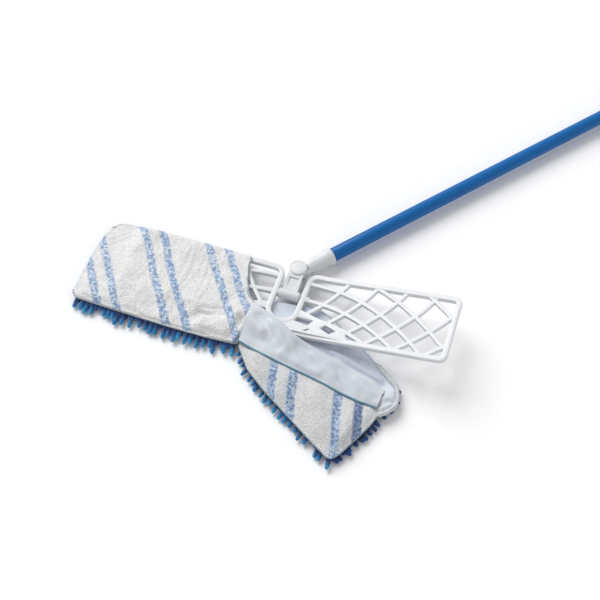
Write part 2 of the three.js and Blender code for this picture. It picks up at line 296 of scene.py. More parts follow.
def newGroup(name, inputs, outputs):
    group = bpy.data.node_groups.new(name, "ShaderNodeTree")
    for label, kind, value in inputs:
        socket = group.interface.new_socket(label, in_out="INPUT", socket_type=kind)
        if value is not None:
            socket.default_value = value
    for label, kind in outputs:
        group.interface.new_socket(label, in_out="OUTPUT", socket_type=kind)
    return group, group.nodes.new("NodeGroupInput"), group.nodes.new("NodeGroupOutput")


def node(tree, kind, values=None, **settings):
    made = tree.nodes.new(kind)
    for key, value in settings.items():
        setattr(made, key, value)
    for key, value in (values or {}).items():
        if isinstance(value, bpy.types.NodeSocket):
            tree.links.new(value, made.inputs[key])
        else:
            made.inputs[key].default_value = value
    return made


def maths(tree, operation, a, b=None, c=None):
    values = {0: a}
    if b is not None:
        values[1] = b
    if c is not None:
        values[2] = c
    return node(tree, "ShaderNodeMath", values, operation=operation).outputs[0]


def blendColours(tree, factor, first, second, mode="MIX"):
    mix = node(tree, "ShaderNodeMix", data_type="RGBA", blend_type=mode)
    for socket, value in ((mix.inputs[0], factor), (mix.inputs[6], first), (mix.inputs[7], second)):
        if isinstance(value, bpy.types.NodeSocket):
            tree.links.new(value, socket)
        else:
            socket.default_value = value
    return mix.outputs[2]


def noisy(tree, where, scale, detail=2.0, **more):
    values = {"Vector": where, "Scale": scale, "Detail": detail, **more}
    return node(tree, "ShaderNodeTexNoise", values).outputs["Fac"]


def swing(tree, value, amount):  # a value round one half becomes a shift to either side
    return maths(tree, "MULTIPLY", maths(tree, "SUBTRACT", value, 0.5), amount)


def mapRange(tree, value, fromLow, fromHigh, toLow, toHigh, kind="SMOOTHSTEP"):
    values = {"Value": value, "From Min": fromLow, "From Max": fromHigh, "To Min": toLow, "To Max": toHigh}
    return node(tree, "ShaderNodeMapRange", values, interpolation_type=kind).outputs[0]


def makeMouldedGroup():
    group, enter, leave = newGroup(
        "moulded plastic",
        [("Vector", "NodeSocketVector", None), ("Colour", "NodeSocketColor", (0.8, 0.8, 0.8, 1)),
         ("Shade", "NodeSocketColor", (0.6, 0.6, 0.62, 1)), ("Roughness", "NodeSocketFloat", 0.4),
         ("Grain", "NodeSocketFloat", 2400.0)],
        [("Colour", "NodeSocketColor"), ("Roughness", "NodeSocketFloat"), ("Height", "NodeSocketFloat")])
    where, shade = enter.outputs["Vector"], enter.outputs["Shade"]
    broad = noisy(group, where, 28.0, 4.0)
    fine = noisy(group, where, enter.outputs["Grain"])
    flow = noisy(group, where, 140.0, 6.0, Distortion=0.6)
    colour = blendColours(group, mapRange(group, broad, 0.35, 0.7, 0.0, 0.22), enter.outputs["Colour"], shade)
    colour = blendColours(group, mapRange(group, flow, 0.62, 0.8, 0.0, 0.12), colour, shade)
    rough = maths(group, "ADD", enter.outputs["Roughness"], swing(group, flow, 0.22))
    height = maths(group, "ADD", fine, maths(group, "MULTIPLY", flow, 1.6))
    group.links.new(colour, leave.inputs["Colour"])
    group.links.new(rough, leave.inputs["Roughness"])
    group.links.new(height, leave.inputs["Height"])
    return group


def makeTerryGroup():
    # loops with dark dips between them, in faint slanted rows; the dip colour is painted shade in the dips between
    # the loops and in the furrows between the rows, and it also darkens broad patches at random
    group, enter, leave = newGroup(
        "terry loops",
        [("Vector", "NodeSocketVector", None), ("Loop Colour", "NodeSocketColor", (0.8, 0.8, 0.8, 1)),
         ("Dip Shade Colour", "NodeSocketColor", (0.5, 0.5, 0.5, 1)), ("Loops", "NodeSocketFloat", 620.0)],
        [("Colour", "NodeSocketColor"), ("Height", "NodeSocketFloat")])
    where, dipShadeColour = enter.outputs["Vector"], enter.outputs["Dip Shade Colour"]
    bent = node(group, "ShaderNodeTexNoise", {"Vector": where, "Scale": 260.0, "Detail": 2.0})
    shifted = node(group, "ShaderNodeVectorMath", {0: bent.outputs["Color"], 3: 0.0022}, operation="SCALE")
    moved = node(group, "ShaderNodeVectorMath", {0: where, 1: shifted.outputs[0]}, operation="ADD").outputs[0]
    loops = node(group, "ShaderNodeTexVoronoi", {"Vector": moved, "Scale": enter.outputs["Loops"],
                                                 "Randomness": 0.75}).outputs["Distance"]
    tufts = noisy(group, where, 190.0, 5.0, Roughness=0.65)
    patch = noisy(group, where, 26.0, 3.0)
    lean = node(group, "ShaderNodeMapping", {"Vector": moved, "Rotation": (0.0, 0.0, 0.95)})
    rows = node(group, "ShaderNodeTexWave", {"Vector": lean.outputs[0], "Scale": 128.0, "Distortion": 1.6,
                                             "Detail": 2.0, "Detail Scale": 2.0},
                bands_direction="X").outputs["Fac"]
    shade = maths(group, "MULTIPLY", mapRange(group, loops, 0.2, 0.7, 0.0, 0.8),
                  mapRange(group, tufts, 0.32, 0.66, 0.25, 1.0))
    furrow = maths(group, "MULTIPLY", maths(group, "SUBTRACT", 1.0, rows), 0.3)
    colour = blendColours(group, maths(group, "MAXIMUM", shade, furrow), enter.outputs["Loop Colour"], dipShadeColour)
    colour = blendColours(group, mapRange(group, patch, 0.4, 0.72, 0.0, 0.22), colour, dipShadeColour)
    height = maths(group, "SUBTRACT", maths(group, "MULTIPLY", tufts, 1.3), maths(group, "MULTIPLY", loops, 1.3))
    height = maths(group, "ADD", height, maths(group, "MULTIPLY", rows, 0.2))
    group.links.new(colour, leave.inputs["Colour"])
    group.links.new(height, leave.inputs["Height"])
    return group


def makeStripeGroup():
    # pairs of slanted stripes: distance from two centres inside each repeat, with ragged edges
    group, enter, leave = newGroup(
        "stripe pairs",
        [("Vector", "NodeSocketVector", None), ("Slant", "NodeSocketFloat", 0.68),
         ("Start", "NodeSocketFloat", 0.0), ("Repeat", "NodeSocketFloat", 0.095),
         ("First", "NodeSocketFloat", 0.014), ("Second", "NodeSocketFloat", 0.041),
         ("Half Width", "NodeSocketFloat", 0.0062)],
        [("Mask", "NodeSocketFloat"), ("Yarn", "NodeSocketFloat")])
    where = enter.outputs["Vector"]
    axes = node(group, "ShaderNodeSeparateXYZ", {"Vector": where})
    slid = maths(group, "MULTIPLY_ADD", axes.outputs["Y"], enter.outputs["Slant"], axes.outputs["X"])
    ragged = noisy(group, where, 250.0, 5.0, Roughness=0.72)
    wander = noisy(group, where, 14.0, 1.0)
    shifted = maths(group, "ADD", maths(group, "ADD", slid, swing(group, ragged, 0.0075)),
                    swing(group, wander, 0.01))
    local = maths(group, "WRAP", maths(group, "SUBTRACT", shifted, enter.outputs["Start"]),
                  enter.outputs["Repeat"], 0.0)
    reaches = [maths(group, "ABSOLUTE", maths(group, "SUBTRACT", local, enter.outputs[centre]))
               for centre in ("First", "Second")]
    within = maths(group, "SUBTRACT", enter.outputs["Half Width"], maths(group, "MINIMUM", *reaches))
    group.links.new(mapRange(group, within, -0.0012, 0.0016, 0.0, 1.0), leave.inputs["Mask"])
    group.links.new(mapRange(group, ragged, 0.42, 0.6, 0.0, 1.0), leave.inputs["Yarn"])
    return group


def makeKnitGroup():
    group, enter, leave = newGroup(
        "fine knit",
        [("Vector", "NodeSocketVector", None), ("Colour", "NodeSocketColor", (0.7, 0.7, 0.75, 1)),
         ("Shade", "NodeSocketColor", (0.5, 0.5, 0.6, 1)), ("Stitches", "NodeSocketFloat", 900.0)],
        [("Colour", "NodeSocketColor"), ("Height", "NodeSocketFloat")])
    where, shade = enter.outputs["Vector"], enter.outputs["Shade"]
    warp, weft = [node(group, "ShaderNodeTexWave", {"Vector": where, "Scale": enter.outputs["Stitches"],
                                                    "Distortion": 1.2, "Detail": 1.0},
                       bands_direction=way).outputs["Fac"] for way in ("X", "Y")]
    broad = noisy(group, where, 24.0, 5.0, Distortion=0.4)
    weave = maths(group, "MULTIPLY", warp, weft)
    tone = mapRange(group, broad, 0.34, 0.68, 0.0, 0.75)
    colour = blendColours(group, tone, enter.outputs["Colour"], shade)
    colour = blendColours(group, maths(group, "MULTIPLY", weave, 0.14), colour, shade)
    group.links.new(colour, leave.inputs["Colour"])
    group.links.new(maths(group, "ADD", weave, maths(group, "MULTIPLY", broad, 2.0)), leave.inputs["Height"])
    return group


mouldedGroup = makeMouldedGroup()
terryGroup = makeTerryGroup()
stripeGroup = makeStripeGroup()
knitGroup = makeKnitGroup()


def startMaterial(name):
    material = bpy.data.materials.new(name)
    material.use_nodes = True
    tree = material.node_tree
    shader = tree.nodes["Principled BSDF"]
    return material, tree, shader, node(tree, "ShaderNodeTexCoord").outputs["Object"]


def useGroup(tree, group, values):
    made = tree.nodes.new("ShaderNodeGroup")
    made.node_tree = group
    for key, value in values.items():
        if isinstance(value, bpy.types.NodeSocket):
            tree.links.new(value, made.inputs[key])
        else:
            made.inputs[key].default_value = value
    return made


def addBump(tree, shader, height, distance):
    bump = node(tree, "ShaderNodeBump", {"Height": height, "Distance": distance, "Strength": 1.0})
    tree.links.new(bump.outputs["Normal"], shader.inputs["Normal"])


def mouldedMaterial(name, colour, shade, roughness, grain=2400.0, bump=0.00006, coat=0.0, gloss=0.5):
    material, tree, shader, where = startMaterial(name)
    skin = useGroup(tree, mouldedGroup, {"Vector": where, "Colour": colour, "Shade": shade,
                                         "Roughness": roughness, "Grain": grain})
    tree.links.new(skin.outputs["Colour"], shader.inputs["Base Color"])
    tree.links.new(skin.outputs["Roughness"], shader.inputs["Roughness"])
    shader.inputs["Coat Weight"].default_value = coat
    shader.inputs["Specular IOR Level"].default_value = gloss
    addBump(tree, shader, skin.outputs["Height"], bump)
    return material


def terryMaterial(name, settings):
    material, tree, shader, where = startMaterial(name)
    plain = useGroup(tree, terryGroup, {"Vector": where, "Loop Colour": settings["white"],
                                        "Dip Shade Colour": settings["whiteDipShade"], "Loops": settings["loops"]})
    colour = plain.outputs["Colour"]
    if "stripe" in settings:
        marks = useGroup(tree, stripeGroup, {"Vector": where, "Slant": settings["slant"],
                                             "Start": settings["start"], "Repeat": settings["repeat"],
                                             "First": settings["first"], "Second": settings["second"],
                                             "Half Width": settings["halfWidth"]})
        yarns = useGroup(tree, terryGroup, {"Vector": where, "Loop Colour": settings["stripe"],
                                            "Dip Shade Colour": settings["stripeDipShade"], "Loops": settings["loops"]})
        speckled = blendColours(tree, marks.outputs["Yarn"], yarns.outputs["Colour"], settings["stripeLight"])
        if "farStripeShadeFrom" in settings:  # painted shade: the stripes past this line are darkened for the fold they lie in
            axes = node(tree, "ShaderNodeSeparateXYZ", {"Vector": where})
            slid = maths(tree, "MULTIPLY_ADD", axes.outputs["Y"], settings["slant"], axes.outputs["X"])
            edge = 0.003  # how softly the painted shade starts
            far = mapRange(tree, slid, settings["farStripeShadeFrom"] - edge, settings["farStripeShadeFrom"] + edge, 0.0, 0.7)
            speckled = blendColours(tree, far, speckled, settings["farStripeShade"], "MULTIPLY")
        colour = blendColours(tree, marks.outputs["Mask"], colour, speckled)
    tree.links.new(colour, shader.inputs["Base Color"])
    shader.inputs["Roughness"].default_value = 0.95
    shader.inputs["Sheen Weight"].default_value = 0.35
    shader.inputs["Sheen Roughness"].default_value = 0.6
    addBump(tree, shader, plain.outputs["Height"], settings["bump"])
    return material


def knitMaterial(name, colour, shade, stitches=260.0):
    material, tree, shader, where = startMaterial(name)
    skin = useGroup(tree, knitGroup, {"Vector": where, "Colour": colour, "Shade": shade, "Stitches": stitches})
    tree.links.new(skin.outputs["Colour"], shader.inputs["Base Color"])
    shader.inputs["Roughness"].default_value = 0.8
    shader.inputs["Sheen Weight"].default_value = 0.2
    addBump(tree, shader, skin.outputs["Height"], 0.0003)
    return material


frameWhite = mouldedMaterial("frame white", (0.74, 0.755, 0.775, 1), (0.62, 0.635, 0.665, 1), 0.4)
knuckleWhite = mouldedMaterial("knuckle white", (0.72, 0.735, 0.75, 1), (0.61, 0.625, 0.65, 1), 0.34,
                               grain=1800.0, coat=0.1)
tubeBlue = mouldedMaterial("tube blue", (0.0, 0.125, 0.4, 1), (0.0, 0.09, 0.29, 1), 0.38, grain=900.0,
                           bump=0.00003, gloss=0.3)
capBlue = mouldedMaterial("cap blue", (0.012, 0.09, 0.3, 1), (0.01, 0.065, 0.22, 1), 0.48)


def chenilleMaterial(name, root, middle, litTip):
    # painted shade where the noodles meet the cloth, painted light towards their tips, which are lighter and
    # greener
    material, tree, shader, where = startMaterial(name)
    share = node(tree, "ShaderNodeAttribute", attribute_name="tipShare").outputs["Fac"]
    fuzz = noisy(tree, where, 700.0, 3.0, Roughness=0.7)
    patchy = maths(tree, "ADD", share, swing(tree, noisy(tree, where, 55.0), 0.7))
    patchy = maths(tree, "ADD", patchy, swing(tree, fuzz, 0.9))
    colour = blendColours(tree, mapRange(tree, patchy, 0.34, 0.74, 0.0, 1.0), root, middle)
    colour = blendColours(tree, mapRange(tree, patchy, 0.7, 1.15, 0.0, 0.9), colour, litTip)
    tree.links.new(colour, shader.inputs["Base Color"])
    shader.inputs["Roughness"].default_value = 0.9
    shader.inputs["Sheen Weight"].default_value = 0.25
    addBump(tree, shader, fuzz, 0.0012)
    return material


# the root colour is painted shade under the cloth and the tip colour is painted light
chenilleBlue = chenilleMaterial("chenille blue", (0.002, 0.022, 0.12, 1), (0.005, 0.185, 0.47, 1),
                                (0.1, 0.5, 0.8, 1))
# a darker copy of the chenille: painted shade for the noodle rows in shadow behind the cloth edges and at the far
# end
chenilleShaded = chenilleMaterial("chenille painted shade", (0.001, 0.007, 0.05, 1), (0.003, 0.045, 0.22, 1),
                                (0.02, 0.14, 0.44, 1))
# the dip colours are painted shade in the dips between the terry loops
stripeLook = {"white": (0.96, 0.955, 0.95, 1), "whiteDipShade": (0.7, 0.7, 0.705, 1), "loops": 560.0, "bump": 0.0009,
              "stripe": (0.3, 0.45, 0.72, 1), "stripeDipShade": (0.1, 0.2, 0.44, 1),
              "stripeLight": (0.74, 0.83, 0.91, 1), "halfWidth": 0.0062}
terryLeft = terryMaterial("striped terry left", {**stripeLook, "slant": 0.68, "start": -0.2706, "repeat": 0.095,
                                                 "first": 0.014, "second": 0.041})
# the right flap's terry is a darker copy of the left's: painted shade over the whole flap
shadedTerryRight = terryMaterial("striped terry right in painted shade", {
    **stripeLook, "white": (0.8, 0.8, 0.805, 1), "whiteDipShade": (0.49, 0.5, 0.52, 1), "stripe": (0.17, 0.29, 0.53, 1),
    "stripeDipShade": (0.05, 0.12, 0.32, 1), "stripeLight": (0.52, 0.64, 0.77, 1), "slant": 0.2, "start": -0.0074,
    # painted shade: the stripes past this line are darkened for the fold they lie in
    "repeat": 0.084, "first": 0.014, "second": 0.0395, "halfWidth": 0.0054, "farStripeShadeFrom": 0.103,
    "farStripeShade": (0.3, 0.36, 0.5, 1)})
terryPlain = terryMaterial("plain terry", {"white": (0.84, 0.85, 0.87, 1), "whiteDipShade": (0.56, 0.58, 0.62, 1),
                                           "loops": 620.0, "bump": 0.0011})
liningPale = knitMaterial("lining pale", (0.74, 0.78, 0.82, 1), (0.56, 0.6, 0.68, 1))
liningDeep = knitMaterial("lining deep", (0.75, 0.79, 0.87, 1), (0.55, 0.6, 0.73, 1))
backingBlue = knitMaterial("backing blue", (0.05, 0.13, 0.34, 1), (0.03, 0.08, 0.24, 1), stitches=240.0)
threadTeal = knitMaterial("thread teal", (0.24, 0.46, 0.56, 1), (0.12, 0.3, 0.42, 1), stitches=420.0)
threadPale = knitMaterial("thread pale", (0.66, 0.76, 0.79, 1), (0.42, 0.57, 0.64, 1), stitches=420.0)


def makeSteel():
    material, tree, shader, where = startMaterial("pin steel")
    stretched = node(tree, "ShaderNodeMapping", {"Vector": where, "Scale": (40.0, 900.0, 900.0)})
    lines = node(tree, "ShaderNodeTexNoise", {"Vector": stretched.outputs[0], "Scale": 1.0, "Detail": 5.0})
    tree.links.new(mapRange(tree, lines.outputs["Fac"], 0.3, 0.7, 0.22, 0.42), shader.inputs["Roughness"])
    tree.links.new(blendColours(tree, lines.outputs["Fac"], (0.62, 0.63, 0.65, 1), (0.5, 0.51, 0.53, 1)),
                   shader.inputs["Base Color"])
    shader.inputs["Metallic"].default_value = 1.0
    addBump(tree, shader, lines.outputs["Fac"], 0.00002)
    return material


pinSteel = makeSteel()
print("materials ready")

lattice = {"halfLength": 218, "frontY": -8.5, "rearY": 88.5, "rail": 7.2, "railHeight": 7, "railRound": 1.3,
           "rib": 5.3, "ribHeight": 5.6, "ribRound": 0.9, "ribInset": 4, "ribPitch": 38.5, "ribStep": 25.5,
           "ribCurve": 0.0029, "midZ": 14, "topZ": 17.5, "notchHalf": 15.5, "notchFloor": 10, "flare": 15,
           "corner": 10, "webHalf": 3.1, "bendX": 34, "bendSpread": 12, "tilt": 11}


def arcPoints(cx, cy, radius, start, stop, steps):
    return [(cx + radius * math.cos(math.radians(start + (stop - start) * i / steps)),
             cy + radius * math.sin(math.radians(start + (stop - start) * i / steps))) for i in range(steps + 1)]


def bendUp(obj):
    # the bare wing curves up through a short stretch beside the hub, then runs straight
    tilt = math.radians(lattice["tilt"])
    start = (lattice["bendX"] - lattice["bendSpread"]) * mm
    stop = (lattice["bendX"] + lattice["bendSpread"]) * mm
    reach = stop - start
    top = lattice["topZ"] * mm
    for vertex in obj.data.vertices:
        x, y, z = vertex.co
        if x <= start:
            continue
        share = min((x - start) / reach, 1)
        angle = tilt * share
        radius = reach / tilt
        px = start + radius * math.sin(angle)
        pz = top + radius * (1 - math.cos(angle))
        if share >= 1:
            px += (x - stop) * math.cos(tilt)
            pz += (x - stop) * math.sin(tilt)
        vertex.co = (px - (z - top) * math.sin(angle), y, pz + (z - top) * math.cos(angle))
    obj.data.update()
    return obj


def makeLattice():
    f = lattice
    inset = f["rail"] / 2
    midY = (f["frontY"] + f["rearY"]) / 2
    right = f["halfLength"] - inset
    half = arcPoints(right - f["corner"] + inset, f["frontY"] + f["corner"], f["corner"] - inset, -90, 0, 6)
    half += arcPoints(right - f["corner"] + inset, f["rearY"] - f["corner"], f["corner"] - inset, 0, 90, 6)
    half += arcPoints(f["notchHalf"] + f["flare"], f["rearY"] - f["flare"], f["flare"] - inset, 90, 180, 8)
    half += arcPoints(0, f["notchFloor"] + f["notchHalf"], f["notchHalf"] + inset, 0, -80, 10)
    loop = half + [(-x, y) for x, y in reversed(half)]
    dense = []
    for (x0, y0), (x1, y1) in zip(loop, loop[1:] + loop[:1]):  # long rails get points along them so they can bend
        pieces = max(1, int(math.hypot(x1 - x0, y1 - y0) / 9))
        dense += [(x0 + (x1 - x0) * i / pieces, y0 + (y1 - y0) * i / pieces, f["midZ"]) for i in range(pieces)]
    parts = [swept("outer rail", dense, f["rail"], f["railHeight"], f["railRound"], closed=True)]
    paths = []  # each rib's path, and how far its top stands off the others so that no two tops share a plane
    for k in range(-1, 4):
        apexX = 20 + 4.4 * k * k
        apexY = midY + 6.5 + f["ribStep"] * k
        start = apexX if k > 1 else f["notchHalf"] + 3
        reach = min(math.sqrt((apexY - f["frontY"] + 2) / f["ribCurve"]), f["halfLength"] - start - 1)
        xs = [start + reach * i / 60 for i in range(61)]
        paths.append((0.15, [(x, apexY - f["ribCurve"] * (x - apexX) ** 2) for x in xs]))
    for k in range(6):
        low = -13 if k == 0 else -50
        ys = [low + (47 - low) * i / 48 for i in range(49)]
        paths.append((-0.15, [(43 + f["ribPitch"] * k + 0.84 * y - 0.0047 * y * y, midY + y) for y in ys]))
    for number, (rise, path) in enumerate(paths):
        kept = [(x, y) for x, y in path if f["frontY"] + f["ribInset"] < y < f["rearY"] - f["ribInset"]
                and x < f["halfLength"] - f["ribInset"]]
        for side in (1, -1):
            parts.append(swept(f"rib {number}", [(side * x, y, f["midZ"]) for x, y in kept],
                               f["rib"], f["ribHeight"] + 2 * rise, f["ribRound"]))
    webOutline = [(0, f["frontY"] + 4), (95, f["frontY"] + 4), (88, 6), (58, midY - 21.5), (31, midY - 13),
                  (20, midY - 10), (14, 14), (0, 8.5)]
    holes = [[(12, 12.5), (23, 21.5), (43, 17.5), (37, 9)], [(53, 9), (60, 14), (76, 8), (68, 2)],
             [(33, 0.5), (40, 5), (47, 1.5), (40, -1)]]
    for side in (1, -1):
        web = plate("hub web", [(side * x, y) for x, y in webOutline], f["midZ"] - f["webHalf"],
                    f["midZ"] + f["webHalf"])
        for hole in holes:
            cutAway(web, plate("cutter", [(side * x, y) for x, y in hole], 5, 25))
        parts.append(rounded(web, 1.1))
        boss = turned("axle boss", [(3.6, 15.5), (3.6, 26.4), (3.3, 27.4), (2.4, 28)], 32)
        place(boss, Matrix.Translation((0, 48 * mm, f["midZ"] * mm)) @ Matrix.Rotation(side * math.pi / 2, 4, "Y"))
        parts.append(boss)  # the axle runs through it
    whole = joined(parts, "latticeFrame")
    bendUp(whole)
    smooth(whole, 40)
    setMaterials(whole, frameWhite)
    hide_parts("frame_left", "frame_right")
    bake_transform(whole)
    return whole


latticeFrame = makeLattice()
print("lattice frame made")

neck = {"axleY": 48, "pinY": 85, "axleZ": 14, "halfWidth": 11.5, "halfHeight": 11, "slot": 5.0, "barrel": 6.5,
        "barrelHalf": 13.9, "turn": 39}
pinPlace = Matrix.Translation((0, neck["pinY"] * mm, neck["axleZ"] * mm))
pinTurn = pinPlace @ Matrix.Rotation(-math.radians(neck["turn"]), 4, "Z")
axisTurn = pinTurn @ Matrix.Rotation(-math.pi / 2, 4, "X")  # +Z of a turned piece runs along the handle


def makeNeck():
    n = neck
    lower = [(n["axleY"] - 2, -5.2), (n["axleY"] + 10, -6.8), (n["pinY"] - 16, -10.2),
             (n["pinY"] - 9, -n["halfHeight"]), (n["pinY"] - 2, -n["halfHeight"])]
    side = lower + [(y, -z) for y, z in reversed(lower)]
    body = plate("neck body", side, -n["halfWidth"] + 1.4, n["halfWidth"] - 1.4)
    # the outline is (y, z) and the extrusion runs along x
    place(body, Matrix(((0, 0, 1, 0), (1, 0, 0, 0), (0, 1, 0, n["axleZ"] * mm), (0, 0, 0, 1))))
    recess = plate("neck recess", [(-5.6, 57), (5.6, 57), (6.4, 70), (-6.4, 70)], 21.3, 30)
    tilted = Matrix.Translation((0, 0.0635, 0.0225)) @ Matrix.Rotation(math.radians(10), 4, "X") \
        @ Matrix.Translation((0, -0.0635, -0.0225))
    place(recess, tilted)
    cutAway(body, recess)
    slotCutter = plate("clevis slot", [(-20, n["pinY"] - 11.6), (20, n["pinY"] - 11.6), (20, 110), (-20, 110)],
                       n["axleZ"] - n["slot"], n["axleZ"] + n["slot"])
    cutAway(body, slotCutter)
    parts = [smooth(rounded(body, 1.3, angle=35))]
    for flip in (1, -1):
        lug = turned("lug", [(n["halfWidth"] - 0.6, 5.0), (n["halfWidth"], 5.5), (n["halfWidth"], 10.3),
                             (n["halfWidth"] - 0.7, 11.0)], 64)
        place(lug, pinPlace @ Matrix.Scale(flip, 4, (0, 0, 1)))
        parts.append(recalc(lug))
    barrel = turned("barrel", [(5.4, -n["barrelHalf"]), (n["barrel"], -n["barrelHalf"] + 1),
                               (n["barrel"], n["barrelHalf"] - 1), (5.4, n["barrelHalf"])], 48)
    place(barrel, Matrix.Translation((0, n["axleY"] * mm, n["axleZ"] * mm)) @ Matrix.Rotation(math.pi / 2, 4, "Y"))
    parts.append(barrel)
    whole = joined(parts, "neckClevis")
    setMaterials(whole, knuckleWhite)
    setGoing(whole, "neck", "knuckle_plastic", "neck_block")
    for flip, name, cad in ((1, "snapCapTop", "knuckle_cap_top"), (-1, "snapCapBottom", "knuckle_cap_bottom")):
        cap = turned(name, [(11.0, 11.3), (11.4, 11.6), (11.4, 12.2), (10.9, 12.75), (10.2, 12.85), (9.95, 12.3),
                            (9.5, 12.3), (9.2, 12.9), (6.0, 13.15), (2.5, 13.25)], 64)
        place(cap, pinPlace @ Matrix.Scale(flip, 4, (0, 0, 1)))
        smooth(recalc(cap), 30)
        setMaterials(cap, knuckleWhite)
        setGoing(cap, "neck", "knuckle_plastic", cad)


makeNeck()

tube = {"radius": 9.5, "start": 22.3, "length": 1150, "collarEnd": 52, "sides": 64, "eyeEnd": 1208.3}


def rideHandle(obj, material, slotName, *cad):
    setMaterials(obj, material)
    return setGoing(obj, "handle", slotName, *cad)


def makeHandle():
    t = tube
    shellProfile = [(5.0, 12.6), (9.2, 12.9), (9.9, 14.6), (10.25, 18), (10.55, 30), (10.75, 43.2), (11.0, 44.0),
                    (11.75, 44.6), (11.95, 45.6), (11.95, 50.6), (11.6, 51.6), (10.9, 52.0), (9.9, 52.0),
                    (9.62, 51.2), (9.62, 24.0)]
    shell = turned("ferrule shell", shellProfile, t["sides"])
    place(shell, axisTurn)
    tongueOutline = arcPoints(0, 0, 9.6, 0, -180, 16) + [(-9.4, 15.5), (9.4, 15.5)]
    tongue = plate("tongue", tongueOutline, -4.7, 4.7, 0.8, 3)
    hole = turned("pin hole", [(3.8, -10), (3.8, 10)], 32)
    cutAway(tongue, hole)
    smooth(tongue)
    place(tongue, pinTurn)
    ribs = []
    for angle in (0, 180):  # two raised ribs along the ferrule's sides
        rib = swept("ferrule rib", [(0, 0, 17), (0, 0, 42.5)], 2.6, 2.2, 0.9)
        place(rib, axisTurn @ Matrix.Rotation(math.radians(angle), 4, "Z") @ Matrix.Translation((0.0101, 0, 0)))
        ribs.append(rib)
    rideHandle(joined([shell, tongue] + ribs, "ferruleSocket"), knuckleWhite, "knuckle_plastic", "ferrule")
    end = t["start"] + t["length"]
    pipe = turned("handleTube", [(9.0, t["start"]), (9.3, t["start"]), (t["radius"], t["start"] + 0.4)]
                  + [(t["radius"], t["start"] + t["length"] * i / 12) for i in range(1, 12)]
                  + [(t["radius"], end - 0.4), (9.3, end), (9.0, end)], t["sides"])
    place(pipe, axisTurn)
    rideHandle(pipe, tubeBlue, "tube_paint", "handle_tube")
    start = end - 26
    gripProfile = [(9.65, 4), (9.65, 0), (10.7, 0), (11.0, 0.8), (11.2, 7), (13.2, 20), (13.95, 24), (13.95, 29),
                   (13.2, 31.5), (11.4, 35), (10.4, 37), (4, 38)]
    grip = turned("end cap", [(radius, start + height) for radius, height in gripProfile], t["sides"])
    place(grip, axisTurn)
    eyeOutline = [(-9.6, start + 30), (9.6, start + 30)] + arcPoints(0, t["eyeEnd"] - 10, 10, 0, 180, 20)
    eye = plate("eye", eyeOutline, -3.5, 3.5)
    hole = turned("eye hole", [(5, -10), (5, 10)], 32)
    place(hole, Matrix.Translation((0, (t["eyeEnd"] - 10) * mm, 0)))
    cutAway(eye, hole)
    place(smooth(rounded(eye, 1.2)), pinTurn)
    rings = []
    for step in range(4):  # grip ridges round the end cap
        low, wide = start + 2.4 + step * 3.4, 11.6 + step * 0.25
        ring = turned("ridge", [(10.9, low), (wide, low + 0.7), (wide, low + 1.5), (10.9, low + 2.2)], 48)
        rings.append(place(ring, axisTurn))
    rideHandle(joined([grip, eye] + rings, "hangingCap"), capBlue, "blue_plastic", "end_cap")


makeHandle()
for cadName, material in (("axle", pinSteel), ("knuckle_pin", pinSteel), ("axle_bush_left", knuckleWhite),
                          ("axle_bush_right", knuckleWhite), ("tube_insert", capBlue)):
    nodes[cadName].data.materials.clear()
    nodes[cadName].data.materials.append(material)
print("knuckle and handle made")

# outlines of the cover's two halves, seen from above
mouthPath = [(-41, -40), (-39, -14), (-36, 16), (-50, 29), (-58, 46), (-64, 66), (-67, 88)]
leftFrontPath = [(-267, -36), (-262, -40), (-230, -41), (-197, -42), (-128, -43), (-80, -42.5), (-41, -40)]
leftRearPath = [(-263, 80), (-256, 87), (-246, 89.6), (-150, 89.6), (-67, 88)]
leftEndPath = [(-267, -36), (-268, -10), (-269, 30), (-268, 60), (-263, 80)]
rightFrontPath = [(-35, -42), (-13, -70), (16, -91), (62, -119), (93, -138), (114, -150), (119, -151)]
rightEndPath = [(119, -151), (127, -141), (138, -120), (150, -95), (155, -80)]
foldPath = [(-38, 15.5), (-14, 6), (6, -1.5), (19, -8.8), (27, -13), (46, -17.2), (66, -22.5), (103, -32.5),
            (139, -41), (154, -49)]
hemPath = [(-37, -37), (-20, -42), (-5, -45), (32, -52.5), (60, -57), (86, -62), (105, -67), (125, -70.5),
           (152, -72)]
rightRearPath = [(-38, 16), (-25, 29), (-13, 35.5), (-2, 37.8), (12, 38.4), (24, 41.2), (38, 42.2), (54, 38),
                 (73, 27), (90, 15), (112, 3), (136, -14), (154, -27), (166, -36)]
rightTipPath = [(155, -80), (164, -74), (172, -62), (172, -50), (166, -36)]


def coverPiece(obj, slotName, *cad):
    return setGoing(obj, "cover", slotName, *cad)


def at(path, share):
    point = along([Vector((x, y, 0)) for x, y in path], share)
    return point.x, point.y


def coons(bottomPath, topPath, leftPath, rightPath):
    # a flat patch spanned by its four edges
    def where(s, t):
        bx, by = at(bottomPath, s)
        tx, ty = at(topPath, s)
        lx, ly = at(leftPath, t)
        rx, ry = at(rightPath, t)
        corners = (bottomPath[0], bottomPath[-1], topPath[0], topPath[-1])
        x = (1 - t) * bx + t * tx + (1 - s) * lx + s * rx - ((1 - s) * (1 - t) * corners[0][0] + s * (1 - t)
            * corners[1][0] + (1 - s) * t * corners[2][0] + s * t * corners[3][0])
        y = (1 - t) * by + t * ty + (1 - s) * ly + s * ry - ((1 - s) * (1 - t) * corners[0][1] + s * (1 - t)
            * corners[1][1] + (1 - s) * t * corners[2][1] + s * t * corners[3][1])
        return x, y
    return where


leftPatch = coons(leftFrontPath, leftRearPath, leftEndPath, mouthPath)

